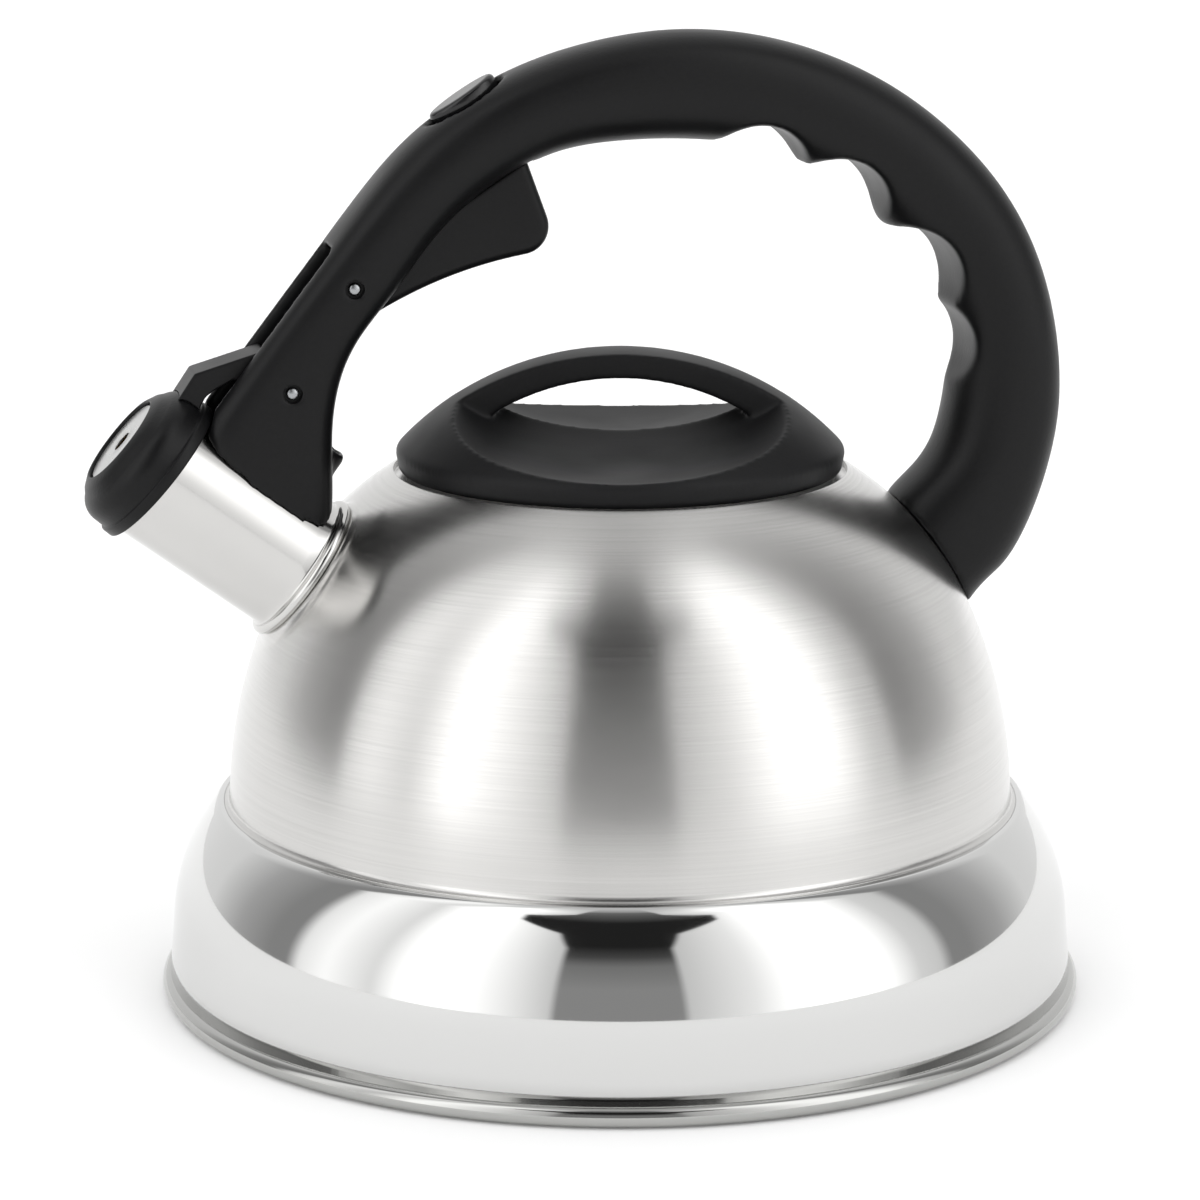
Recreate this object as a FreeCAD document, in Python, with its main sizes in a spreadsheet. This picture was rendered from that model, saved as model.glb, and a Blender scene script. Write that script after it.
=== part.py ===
"""Stovetop whistling kettle, in millimetres, +Z up.

The origin is the centre of the underside, where the kettle stands on the hob. The spout points
towards -X, the bow handle lies in the XZ plane, and the left and right sides face -Y and +Y.
"""
import FreeCAD, Part
import math
import os
import re
import Sketcher

doc = FreeCAD.newDocument("kettle")
Vector = FreeCAD.Vector
Rotation = FreeCAD.Rotation
Placement = FreeCAD.Placement
ACROSS = Vector(0, 1, 0)
UP = Vector(0, 0, 1)

# ---------------------------------------------------------------- driving dimensions
SIZES = {
    # steel sheet
    "sheet": 0.8,
    # dome: two tangent arcs from the seam up to the step round the lid
    "dome_radius": 93.25,
    "dome_low_arc": 114.1,
    "dome_low_centre": 44.7,
    "dome_high_arc": 72.53,
    "dome_join_angle": 26.09,
    "dome_cove": 1.4,
    "step_radius": 53.4,
    "seat_height": 123.6,
    "neck_radius": 45.2,
    "neck_bottom": 117.0,
    # polished base: ledge under the seam, rounded shoulder, nearly straight skirt
    "ledge_height": 46.2,
    "ledge_radius": 95.9,
    "collar_height": 49.5,
    "collar_gap": 0.15,
    "shoulder_arc": 45.6,
    "skirt_top_radius": 106.9,
    "skirt_top": 20.0,
    "skirt_foot_radius": 108.15,
    "skirt_foot": 5.0,
    # floor with its wired rim, and the capped heat disc under it
    "rim_radius": 110.0,
    "rim_section": 2.4,
    "rim_height": 2.6,
    "floor_height": 4.0,
    "floor_sheet": 0.7,
    "disc_radius": 88.0,
    "disc_cap_sheet": 0.5,
    # spout: a straight tube that rises from the dome, with a bead at its root
    "spout_x": -76.1,
    "spout_z": 104.3,
    "spout_rise": 36.5,
    "spout_radius": 16.3,
    "spout_length": 42.0,
    "spout_neck_radius": 16.9,
    "bead_radius": 18.3,
    "bead_width": 2.6,
    # whistle cap on the spout's mouth
    "cap_x": -108.0,
    "cap_z": 128.0,
    "cap_rise": 40.5,
    "cap_lip_radius": 18.6,
    "cap_radius": 17.9,
    "cap_height": 12.8,
    "cap_shoulder": 5.2,
    "cap_side_height": 5.6,
    "cap_lip_height": 2.6,
    "cap_bore": 17.4,
    "mouth_depth": 3.0,
    "gasket": 1.2,
    "plate": 0.6,
    "whistle_hole": 2.5,
    "front_disc_radius": 10.4,
    # lid
    "lid_turn": -12.0,
    "lid_radius": 52.8,
    "lid_dome_arc": 72.0,
    "lid_top": 153.2,
    "lid_rim_radius": 52.0,
    "lid_rim_bottom": 125.0,
    "lid_flange_height": 124.6,
    "lid_skirt_radius": 44.4,
    "lid_floor_height": 117.0,
    "lid_nose": 2.2,
    "lid_screw_reach": 30.0,
    "bridge_width": 15.0,
    "bridge_under_arc": 57.0,
    "bridge_under_top": 147.2,
    "scoop_along": 50.0,
    "scoop_across": 51.7,
    "scoop_depth": 24.0,
    "scoop_centre": 31.9,
    "scoop_centre_height": 153.0,
    # handle and its slot
    "handle_width": 27.0,
    "slot_width": 13.2,
    "lever_width": 12.2,
    "groove_width": 40.0,
    # pins of the spout mechanism
    "pin_radius": 1.5,
    "pin_clearance": 0.05,
    "pin_length": 24.6,
    "pin_recess": 2.1,
    "trigger_x": -64.3,
    "trigger_z": 170.7,
    "arm_x": -78.9,
    "arm_z": 147.2,
    "hub_radius": 4.6,
    "nose_radius": 1.3,
    # thumb button
    "button_x": -37.0,
    "button_z": 212.2,
    "button_slope": 33.4,
    "button_long": 8.8,
    "button_short": 5.3,
    "button_gap": 1.5,
    "button_height": 4.0,
    "button_proud": 1.5,
    "button_travel": 2.0,
    # screws
    "screw_radius": 2.0,
    "screw_head": 3.8,
}

sheet = doc.addObject("Spreadsheet::Sheet", "sizes")
for row, (alias, number) in enumerate(SIZES.items(), 1):
    sheet.set(f"A{row}", alias)
    sheet.set(f"B{row}", str(number))
    sheet.setAlias(f"B{row}", alias)
doc.recompute()


def bound(text):
    """An expression for FreeCAD, with each size's name led by the sheet's."""
    return re.sub(r"[a-z_]+", lambda word: f"sizes.{word[0]}" if word[0] in SIZES else word[0], text)


def size(text):
    """The number that an expression of sizes gives."""
    return float(sheet.evalExpression(bound(text)))


# ---------------------------------------------------------------- helpers
def origin_plane(body, role):
    return next(plane for plane in body.Origin.OriginFeatures if plane.Role == role)


def arc_edge(start, end, centre, anticlockwise):
    """Arc of a sketch between two points round a centre."""
    radius = (start - centre).Length
    first = math.atan2(start.y - centre.y, start.x - centre.x)
    last = math.atan2(end.y - centre.y, end.x - centre.x)
    if not anticlockwise:
        first, last = last, first
    circle = Part.Circle(centre, UP, radius)
    return Part.ArcOfCircle(circle, first, last)


def draw_outline(sketch, corners):
    """Closed outline whose corners and arcs are bound to the sheet.

    A corner is (x, y) when a straight edge leaves it, and (x, y, centre x, centre y, turn) when an
    arc does. Every item but the turn, which is +1 anticlockwise, is an expression of sizes.
    """
    points = [Vector(size(corner[0]), size(corner[1]), 0) for corner in corners]
    ends = points[1:] + points[:1]
    starts_at = []
    for corner, start, end in zip(corners, points, ends):
        if len(corner) == 2:
            sketch.addGeometry(Part.LineSegment(start, end), False)
            starts_at.append((1, 2))
            continue
        centre = Vector(size(corner[2]), size(corner[3]), 0)
        anticlockwise = corner[4] > 0
        sketch.addGeometry(arc_edge(start, end, centre, anticlockwise), False)
        starts_at.append((1, 2) if anticlockwise else (2, 1))
    count = len(corners)
    for index in range(count):
        following = (index + 1) % count
        joint = (index, starts_at[index][1], following, starts_at[following][0])
        sketch.addConstraint(Sketcher.Constraint("Coincident", *joint))
    for index, corner in enumerate(corners):
        vertex = (index, starts_at[index][0])
        for kind, text in (("DistanceX", corner[0]), ("DistanceY", corner[1])):
            if text == "0":
                axis = -2 if kind == "DistanceX" else -1
                sketch.addConstraint(Sketcher.Constraint("PointOnObject", *vertex, axis))
                continue
            constraint = Sketcher.Constraint(kind, -1, 1, *vertex, size(text))
            place = sketch.addConstraint(constraint)
            sketch.setExpression(f"Constraints[{place}]", bound(text))
        if len(corner) > 2:
            constraint = Sketcher.Constraint("DistanceX", -1, 1, index, 3, size(corner[2]))
            place = sketch.addConstraint(constraint)
            sketch.setExpression(f"Constraints[{place}]", bound(corner[2]))


def turned(name, corners):
    """A body turned about its Z axis from an outline of (radius, height) corners."""
    body = doc.addObject("PartDesign::Body", name)
    sketch = body.newObject("Sketcher::SketchObject", name + "_outline")
    sketch.AttachmentSupport = [(origin_plane(body, "XZ_Plane"), "")]
    sketch.MapMode = "FlatFace"
    draw_outline(sketch, corners)
    feature = body.newObject("PartDesign::Revolution", name + "_turn")
    feature.Profile = sketch
    feature.ReferenceAxis = (sketch, ["V_Axis"])
    feature.Angle = 360
    sketch.Visibility = False
    doc.recompute()
    return body


def place(thing, x="0", y="0", z="0", turn=None, axis=ACROSS):
    """Put an object at a point, turned about an axis by an angle, all bound to the sheet."""
    thing.Placement = Placement(Vector(), Rotation(axis, 1))
    for name, text in (("Base.x", x), ("Base.y", y), ("Base.z", z), ("Rotation.Angle", turn or "0")):
        thing.setExpression("Placement." + name, bound(text))
    return thing


def cylinder(name, radius, height, **where):
    """A cylinder along its own Z axis, bound to the sheet."""
    thing = doc.addObject("Part::Cylinder", name)
    thing.setExpression("Radius", bound(radius))
    thing.setExpression("Height", bound(height))
    return place(thing, **where)


def block(name, length, width, height, **where):
    """A box from its own corner, bound to the sheet."""
    thing = doc.addObject("Part::Box", name)
    thing.setExpression("Length", bound(length))
    thing.setExpression("Width", bound(width))
    thing.setExpression("Height", bound(height))
    return place(thing, **where)


def cut(name, base, tool):
    thing = doc.addObject("Part::Cut", name)
    thing.Base = base
    thing.Tool = tool
    return thing


def fuse(name, *parts):
    thing = doc.addObject("Part::MultiFuse", name)
    thing.Shapes = list(parts)
    return thing


def common(name, *parts):
    thing = doc.addObject("Part::MultiCommon", name)
    thing.Shapes = list(parts)
    return thing


def shaped(name, shape):
    """A sub-part whose shape is worked out here from the sheet's sizes."""
    thing = doc.addObject("Part::Feature", name)
    thing.Shape = shape
    return thing


def along(rise, distance, height=0.0):
    """Offset in the XZ plane: a distance up a slope that rises towards -X, and a height off it."""
    angle = math.radians(rise)
    x = -math.cos(angle) * distance + math.sin(angle) * height
    z = math.sin(angle) * distance + math.cos(angle) * height
    return Vector(x, 0, z)


def slab(corners, width, middle=0.0):
    """A plate between two planes of constant Y, from its (x, z) corners."""
    start = middle - width / 2
    points = [Vector(x, start, z) for x, z in corners]
    return Part.Face(Part.makePolygon(points + points[:1])).extrude(Vector(0, width, 0))


def crossbar(x, z, radius, width, middle=0.0):
    """A cylinder along Y."""
    return Part.makeCylinder(radius, width, Vector(x, middle - width / 2, z), ACROSS)


kept = {}

# ---------------------------------------------------------------- vessel
SHOULDER_X = "skirt_top_radius - shoulder_arc * cos(4.6)"
SHOULDER_Z = "skirt_top - shoulder_arc * sin(4.6)"
LOW_X = "dome_radius - dome_low_arc"
JOIN_R = f"{LOW_X} + dome_low_arc * cos(dome_join_angle)"
JOIN_Z = "dome_low_centre + dome_low_arc * sin(dome_join_angle)"
HIGH_X = f"{JOIN_R} - dome_high_arc * cos(dome_join_angle)"
HIGH_Z = f"{JOIN_Z} - dome_high_arc * sin(dome_join_angle)"


def on_arc(centre_r, centre_z, radius, at_radius):
    """Height of an upper arc at a given radius from the kettle's axis."""
    return f"{centre_z} + sqrt(({radius})^2 - ({at_radius} - ({centre_r}))^2)"


def dome_corners():
    """Wall of the dome: cove at the seam, two arcs, step and seat round the lid, neck."""
    cove_top = "ledge_height + dome_cove"
    inner_join_r = f"{JOIN_R} - sheet * cos(dome_join_angle)"
    inner_join_z = f"{JOIN_Z} - sheet * sin(dome_join_angle)"
    under_step = on_arc(HIGH_X, HIGH_Z, "dome_high_arc - sheet", "step_radius + sheet")
    return [
        ("dome_radius - sheet", "ledge_height"),
        ("dome_radius + dome_cove", "ledge_height", "dome_radius + dome_cove", cove_top, -1),
        ("dome_radius", cove_top, LOW_X, "dome_low_centre", 1),
        (JOIN_R, JOIN_Z, HIGH_X, HIGH_Z, 1),
        ("step_radius", on_arc(HIGH_X, HIGH_Z, "dome_high_arc", "step_radius")),
        ("step_radius", "seat_height"),
        ("neck_radius", "seat_height"),
        ("neck_radius", "neck_bottom"),
        ("neck_radius + sheet", "neck_bottom"),
        ("neck_radius + sheet", "seat_height - sheet"),
        ("step_radius + sheet", "seat_height - sheet"),
        ("step_radius + sheet", under_step, HIGH_X, HIGH_Z, -1),
        (inner_join_r, inner_join_z, LOW_X, "dome_low_centre", -1),
    ]


def dome_core(name, inset):
    """Solid inside the dome's two arcs, a distance inside its outer face."""
    join_r = f"{JOIN_R} - ({inset}) * cos(dome_join_angle)"
    join_z = f"{JOIN_Z} - ({inset}) * sin(dome_join_angle)"
    return turned(name, [
        ("0", "dome_low_centre"),
        (f"dome_radius - ({inset})", "dome_low_centre", LOW_X, "dome_low_centre", 1),
        (join_r, join_z, HIGH_X, HIGH_Z, 1),
        ("neck_radius", on_arc(HIGH_X, HIGH_Z, f"dome_high_arc - ({inset})", "neck_radius")),
        ("0", on_arc(HIGH_X, HIGH_Z, f"dome_high_arc - ({inset})", "neck_radius")),
    ])


def spout_place(distance):
    """Placement words for something that stands on the spout's axis."""
    return {
        "x": f"spout_x - ({distance}) * cos(spout_rise)",
        "z": f"spout_z + ({distance}) * sin(spout_rise)",
        "turn": "spout_rise - 90",
    }


dome_outside = dome_core("dome_outside", "0 * sheet")
dome_inside = dome_core("dome_inside", "sheet")
dome_wall = turned("dome_wall", dome_corners())
neck_outside = cylinder("neck_outside", "spout_neck_radius", "16 - bead_width / 2", **spout_place("-16"))
neck_stub = cut("neck_stub", neck_outside, dome_inside)
dome_with_neck = fuse("dome_with_neck", dome_wall, neck_stub)
spout_bore = cylinder("spout_bore", "spout_radius - sheet", "40", **spout_place("-34"))
kept["dome_shell"] = cut("dome_shell", dome_with_neck, spout_bore)

kept["base_shell"] = turned("base_shell", [
    ("dome_radius - 2 * sheet - collar_gap", "collar_height"),
    ("dome_radius - sheet - collar_gap", "collar_height"),
    ("dome_radius - sheet - collar_gap", "ledge_height"),
    ("ledge_radius", "ledge_height", SHOULDER_X, SHOULDER_Z, -1),
    ("skirt_top_radius", "skirt_top"),
    ("skirt_foot_radius", "skirt_foot"),
    ("skirt_foot_radius - sheet", "skirt_foot"),
    ("skirt_top_radius - sheet", "skirt_top", SHOULDER_X, SHOULDER_Z, 1),
    ("ledge_radius - sheet / 2", "ledge_height - sheet"),
    ("dome_radius - 2 * sheet - collar_gap", "ledge_height - sheet"),
])

RIM_R = "rim_radius - rim_section"
kept["bottom_pan"] = turned("bottom_pan", [
    ("0", "floor_height"),
    (f"{RIM_R} - sqrt(rim_section^2 - (floor_height - rim_height)^2)", "floor_height",
     RIM_R, "rim_height", 1),
    (f"{RIM_R} - sqrt(rim_section^2 - (floor_height + floor_sheet - rim_height)^2)",
     "floor_height + floor_sheet"),
    ("0", "floor_height + floor_sheet"),
])

kept["heat_disc"] = cylinder("heat_disc", "disc_radius", "floor_height - disc_cap_sheet",
                             z="disc_cap_sheet")
kept["base_cap"] = turned("base_cap", [
    ("0", "0"),
    ("disc_radius + disc_cap_sheet", "0"),
    ("disc_radius + disc_cap_sheet", "floor_height"),
    ("disc_radius", "floor_height"),
    ("disc_radius", "disc_cap_sheet"),
    ("0", "disc_cap_sheet"),
])

# ---------------------------------------------------------------- spout
# The mouth is trimmed square to the cap, which leans a little more than the tube.
tube_outside = turned("tube_outside", [
    ("spout_radius - sheet", "-bead_width / 2"),
    ("bead_radius - bead_width / 2", "-bead_width / 2", "bead_radius - bead_width / 2", "0", 1),
    ("bead_radius - bead_width / 2", "bead_width / 2"),
    ("spout_radius", "bead_width / 2"),
    ("spout_radius", "spout_length + 6"),
    ("spout_radius - sheet", "spout_length + 6"),
])
place(tube_outside, **spout_place("0"))
mouth_trim = cylinder(
    "mouth_trim", "30", "20",
    x="cap_x - mouth_depth * cos(cap_rise)", z="cap_z + mouth_depth * sin(cap_rise)",
    turn="cap_rise - 90",
)
kept["spout_tube"] = cut("spout_tube", tube_outside, mouth_trim)

# ---------------------------------------------------------------- whistle cap
CAP_PLACE = {"x": "cap_x", "z": "cap_z", "turn": "cap_rise - 90"}
BACK_PLATE = "mouth_depth + gasket"
DISC_SEAT = "cap_height - 1.6"
SHOULDER_R = "cap_radius - cap_shoulder"
RECESS_R = "front_disc_radius + 0.5"
DISC_LEDGE_R = "front_disc_radius - 0.8"


def cap_corners(filled):
    """Outline of the moulded cap, hollow or as one block."""
    outside = [
        ("cap_lip_radius", "0"),
        ("cap_lip_radius", "cap_lip_height"),
        ("cap_radius", "cap_lip_height + 0.6"),
        ("cap_radius", "cap_side_height", SHOULDER_R, "cap_side_height", 1),
        (f"{SHOULDER_R} + cap_shoulder * cos(60)", "cap_side_height + cap_shoulder * sin(60)"),
        (RECESS_R, "cap_height"),
    ]
    if filled:
        return [("0", "0")] + outside + [("0", "cap_height")]
    return [("cap_bore", "0")] + outside + [
        (RECESS_R, DISC_SEAT),
        (DISC_LEDGE_R, DISC_SEAT),
        (DISC_LEDGE_R, BACK_PLATE),
        ("cap_bore", BACK_PLATE),
    ]


def cap_ring(name, inner, outer, bottom, top):
    """A ring on the cap's axis."""
    corners = [(inner, bottom), (outer, bottom), (outer, top), (inner, top)]
    return place(turned(name, corners), **CAP_PLACE)


kept["cap_shell"] = place(turned("cap_shell", cap_corners(False)), **CAP_PLACE)
cap_block = place(turned("cap_block", cap_corners(True)), **CAP_PLACE)
kept["whistle_front_disc"] = cap_ring(
    "whistle_front_disc", "whistle_hole", "front_disc_radius", DISC_SEAT, f"{DISC_SEAT} + plate")
kept["whistle_chamber"] = cap_ring(
    "whistle_chamber", f"{DISC_LEDGE_R} - 2.2", f"{DISC_LEDGE_R} - 0.05",
    BACK_PLATE, DISC_SEAT)
kept["whistle_back_plate"] = cap_ring(
    "whistle_back_plate", "whistle_hole", "spout_radius - 2", f"{BACK_PLATE} - plate", BACK_PLATE)
kept["cap_gasket"] = cap_ring(
    "cap_gasket", "spout_radius - 1.9", "cap_bore - 0.05", "mouth_depth", BACK_PLATE)

# ---------------------------------------------------------------- lid
# The cover is a low dome with two scooped dishes. They leave a bridge to lift the lid by.
LID_CENTRE = "lid_top - lid_dome_arc"
NOSE_R = "lid_radius - lid_nose"
NOSE_RISE = "sqrt((lid_dome_arc - lid_nose)^2 - (lid_radius - lid_nose)^2)"
NOSE_Z = f"{LID_CENTRE} + {NOSE_RISE}"
NOSE_SCALE = "lid_dome_arc / (lid_dome_arc - lid_nose)"
FLANGE_TOP = "lid_flange_height + plate"
LID_PLACE = {"turn": "lid_turn", "axis": UP}

lid_block = turned("lid_block", [
    ("0", FLANGE_TOP),
    ("lid_rim_radius - 1.6", FLANGE_TOP),
    ("lid_rim_radius - 1.6", "lid_rim_bottom"),
    ("lid_rim_radius", "lid_rim_bottom"),
    ("lid_radius", NOSE_Z, NOSE_R, NOSE_Z, 1),
    (f"({NOSE_R}) * {NOSE_SCALE}", f"{LID_CENTRE} + {NOSE_RISE} * {NOSE_SCALE}", "0", LID_CENTRE, 1),
    ("0", "lid_top"),
])
scoops = []
for side in (-1, 1):
    scoop = doc.addObject("Part::Ellipsoid", "scoop_near" if side < 0 else "scoop_far")
    scoop.setExpression("Radius1", bound("scoop_depth"))
    scoop.setExpression("Radius2", bound("scoop_along"))
    scoop.setExpression("Radius3", bound("scoop_across"))
    scoop.Angle1 = -90
    scoops.append(place(scoop, y=f"{side} * scoop_centre", z="scoop_centre_height"))
lid_dished = cut("lid_dished", lid_block, fuse("both_scoops", *scoops))
bridge_band = block("bridge_band", "2 * lid_radius", "bridge_width", "40",
                    x="-lid_radius", y="-bridge_width / 2", z=FLANGE_TOP)
bridge_space = cylinder("bridge_space", "bridge_under_arc", "bridge_width + 2",
                        y="bridge_width / 2 + 1", z="bridge_under_top - bridge_under_arc",
                        turn="90", axis=Vector(1, 0, 0))
bridge = cut("bridge", common("bridge_blank", lid_block, bridge_band), bridge_space)
lid_bosses = [
    cylinder(f"lid_boss_{number}", "4.5", "lid_flange_height - lid_floor_height",
             x=f"{side} * lid_screw_reach", z="lid_floor_height + plate")
    for number, side in enumerate((-1, 1), 1)
]
lid_holes = [
    cylinder(f"lid_hole_{number}", "screw_radius", "16",
             x=f"{side} * lid_screw_reach", z="lid_floor_height - 0.5")
    for number, side in enumerate((-1, 1), 1)
]
lid_solid = fuse("lid_solid", lid_dished, bridge, *lid_bosses)
kept["lid_cover"] = place(cut("lid_cover", lid_solid, fuse("lid_holes", *lid_holes)), **LID_PLACE)

lid_cup = turned("lid_cup", [
    ("0", "lid_floor_height"),
    ("lid_skirt_radius", "lid_floor_height"),
    ("lid_skirt_radius", "lid_flange_height"),
    ("lid_rim_radius - 1.9", "lid_flange_height"),
    ("lid_rim_radius - 1.9", FLANGE_TOP),
    ("lid_skirt_radius - plate", FLANGE_TOP),
    ("lid_skirt_radius - plate", "lid_floor_height + plate"),
    ("0", "lid_floor_height + plate"),
])
pan_holes = [
    cylinder(f"pan_hole_{number}", "screw_radius", "4",
             x=f"{side} * lid_screw_reach", z="lid_floor_height - 2")
    for number, side in enumerate((-1, 1), 1)
]
kept["lid_pan"] = place(cut("lid_pan", lid_cup, fuse("pan_holes", *pan_holes)), **LID_PLACE)
kept["lid_gasket"] = turned("lid_gasket", [
    ("neck_radius + 0.4", "seat_height"),
    ("lid_rim_radius - 2.2", "seat_height"),
    ("lid_rim_radius - 2.2", "lid_flange_height"),
    ("neck_radius + 0.4", "lid_flange_height"),
])


def screw(thread_length):
    """A pan-head screw along +Z, its head's seat at the origin and its thread below."""
    radius = size("screw_radius")
    head = size("screw_head")
    thread = Part.makeCylinder(radius, thread_length, Vector(0, 0, -thread_length))
    dome = Part.makeCylinder(head, 2.4)
    rim = [edge for edge in dome.Edges if edge.BoundBox.ZMin > 2.3]
    dome = dome.makeFillet(1.2, rim)
    cross = Part.makeBox(1.0, 4.2, 1.4, Vector(-0.5, -2.1, 1.3))
    cross = cross.fuse(Part.makeBox(4.2, 1.0, 1.4, Vector(-2.1, -0.5, 1.3)))
    return thread.fuse(dome).cut(cross).removeSplitter()


def placed(shape, where, axis, angle):
    copy = shape.copy()
    copy.Placement = Placement(where, Rotation(axis, angle))
    return copy


lid_screw_shapes = [
    placed(screw(14.5), Vector(side * size("lid_screw_reach"), 0, size("lid_floor_height")),
           Vector(1, 0, 0), 180)
    for side in (-1, 1)
]
kept["lid_screws"] = place(shaped("lid_screws", Part.makeCompound(lid_screw_shapes)), **LID_PLACE)

# ---------------------------------------------------------------- handle
# Nylon on two steel brackets: one is welded on the spout, the other on the back of the dome.
# Stations along the bow, from the foot on the spout over the top to the foot on the dome.
# Each is the outer edge (x, z), the inner edge (x, z), the width and how square the section is.
BOW = [
    (-97.0, 126.0, -72.0, 107.5, 26.0, 5.0),
    (-98.6, 134.2, -69.3, 121.0, 26.0, 5.0),
    (-98.4, 140.6, -69.2, 130.5, 26.0, 5.0),
    (-94.0, 146.8, -68.9, 140.0, 26.0, 5.0),
    (-87.8, 155.0, -67.0, 149.5, 26.0, 4.6),
    (-79.9, 165.4, -62.6, 158.6, 26.0, 4.2),
    (-70.4, 178.0, -53.6, 169.6, 26.0, 3.6),
    (-60.4, 191.2, -45.0, 180.4, 26.2, 3.0),
    (-50.8, 202.1, -36.4, 188.4, 26.6, 2.6),
    (-38.5, 211.6, -26.6, 195.0, 27.0, 2.5),
    (-22.5, 219.8, -15.0, 200.0, 27.0, 2.4),
    (-5.0, 225.0, -1.0, 202.0, 27.0, 2.4),
    (12.7, 227.2, 13.0, 202.2, 27.0, 2.4),
    (36.6, 224.8, 31.0, 199.9, 27.0, 2.4),
    (60.8, 215.6, 48.3, 192.6, 27.0, 2.4),
    (79.3, 202.6, 61.7, 182.9, 27.0, 2.4),
    (92.0, 188.7, 69.9, 173.2, 27.0, 2.4),
    (103.0, 166.4, 78.9, 158.9, 27.0, 2.4),
    (106.9, 143.4, 80.1, 143.1, 27.0, 2.4),
    (105.5, 127.5, 77.4, 129.3, 27.4, 2.5),
    (101.0, 112.4, 72.4, 121.6, 27.8, 2.6),
    (93.6, 98.9, 65.0, 113.5, 28.0, 2.7),
    (83.0, 86.5, 56.5, 103.5, 28.0, 2.7),
]
# Finger grooves under the bow: the centre (x, z) and radius of each rounded cut.
FINGER_GROOVES = [
    (31.3, 193.6, 12.0),
    (50.3, 185.4, 12.0),
    (67.2, 167.8, 13.0),
    (71.8, 151.8, 12.1),
]
SECTION_POINTS = 20


def bow_section(outer_x, outer_z, inner_x, inner_z, width, squareness):
    """One closed section of the bow: a superellipse between its two edges."""
    middle = Vector((outer_x + inner_x) / 2, 0, (outer_z + inner_z) / 2)
    half = Vector((outer_x - inner_x) / 2, 0, (outer_z - inner_z) / 2)
    points = []
    for step in range(SECTION_POINTS):
        angle = 2 * math.pi * (step + 0.5) / SECTION_POINTS
        cosine, sine = math.cos(angle), math.sin(angle)
        reach = math.copysign(abs(cosine) ** (2 / squareness), cosine)
        side = math.copysign(abs(sine) ** (2 / squareness), sine) * width / 2
        points.append(middle + half * reach + Vector(0, side, 0))
    curve = Part.BSplineCurve()
    curve.interpolate(points, PeriodicFlag=True)
    return Part.Wire(curve.toShape())


def on_axis(shape, x, z, turn):
    """A tool shape moved to a point of the XZ plane and turned about Y."""
    return placed(shape, Vector(x, 0, z), ACROSS, turn)


SPOUT = (size("spout_x"), size("spout_z"))
SPOUT_TURN = size("spout_rise - 90")
CAP = (size("cap_x"), size("cap_z"))
CAP_TURN = size("cap_rise - 90")
ARM_PIN = (size("arm_x"), size("arm_z"))
TRIGGER_PIN = (size("trigger_x"), size("trigger_z"))
BUTTON_TURN = -size("button_slope")
FRONT_SCREW_TURN = size("spout_rise")
FRONT_SCREW_AT = 12.5
FRONT_SCREW_SEAT = 21.5
FRONT_BOSS_RADIUS = 5.9
FRONT_BOSS_TOP = 27.5
BRACKET_ALONG = (8, 26)
BRACKET_WIDTH = 14
BRACKET_TOP = 19.5
REAR = (75.6, 105.0)
REAR_TURN = 54.6
REAR_SCREW_HEIGHT = 8.0
REAR_SCREW_SEAT = 8.0
THREAD_HOLE = 2.3
HEAD_HOLE = 4.4
ROOM = 0.3
THROUGH = 40
HUB_POCKET = 8.4


def spout_rod(radius, end):
    """A rod on the spout's axis, from inside the dome to a distance along it."""
    root = -20
    return on_axis(Part.makeCylinder(radius, end - root, Vector(0, 0, root)), *SPOUT, SPOUT_TURN)


def spout_block(room=0.0):
    """The front bracket's block on top of the spout tube, before they meet."""
    first, last = BRACKET_ALONG
    bottom = 8
    corner = Vector(-last - room, -BRACKET_WIDTH / 2 - room, bottom)
    block = Part.makeBox(last - first + 2 * room, BRACKET_WIDTH + 2 * room,
                         BRACKET_TOP - bottom + room, corner)
    return on_axis(block, *SPOUT, FRONT_SCREW_TURN)


def rear_tab(room=0.0):
    """The upright tab and foot of the rear bracket, before they meet the dome."""
    tab = Part.makeBox(2 + 2 * room, 14 + 2 * room, 18 + room, Vector(-1 - room, -7 - room, -4))
    foot = Part.makeBox(7 + 2 * room, 14 + 2 * room, 5.6 + room, Vector(-1 - room, -7 - room, -4))
    return on_axis(tab.fuse(foot), *REAR, REAR_TURN)


def spout_stud(radius, low, high):
    """A cylinder square to the spout tube, on the front screw's axis."""
    stud = Part.makeCylinder(radius, high - low, Vector(-FRONT_SCREW_AT, 0, low))
    return on_axis(stud, *SPOUT, FRONT_SCREW_TURN)


def screw_boss():
    """The round boss at the heel of the front leg, round the front screw's head."""
    boss = spout_stud(FRONT_BOSS_RADIUS, 10, FRONT_BOSS_TOP)
    top = max(boss.Edges, key=lambda edge: edge.BoundBox.ZMax)
    return boss.makeFillet(1.2, [top])


def rear_stud(radius, low, high):
    """A cylinder along the rear screw's axis."""
    stud = Part.makeCylinder(radius, high - low, Vector(low, 0, REAR_SCREW_HEIGHT), Vector(1, 0, 0))
    return on_axis(stud, *REAR, REAR_TURN)


def oval(long_half, short_half, low, high):
    """An oval prism square to the handle at the thumb button."""
    ring = Part.Ellipse(Vector(0, 0, low), long_half, short_half).toShape()
    prism = Part.Face(Part.Wire(ring)).extrude(Vector(0, 0, high - low))
    return on_axis(prism, size("button_x"), size("button_z"), BUTTON_TURN)


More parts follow.
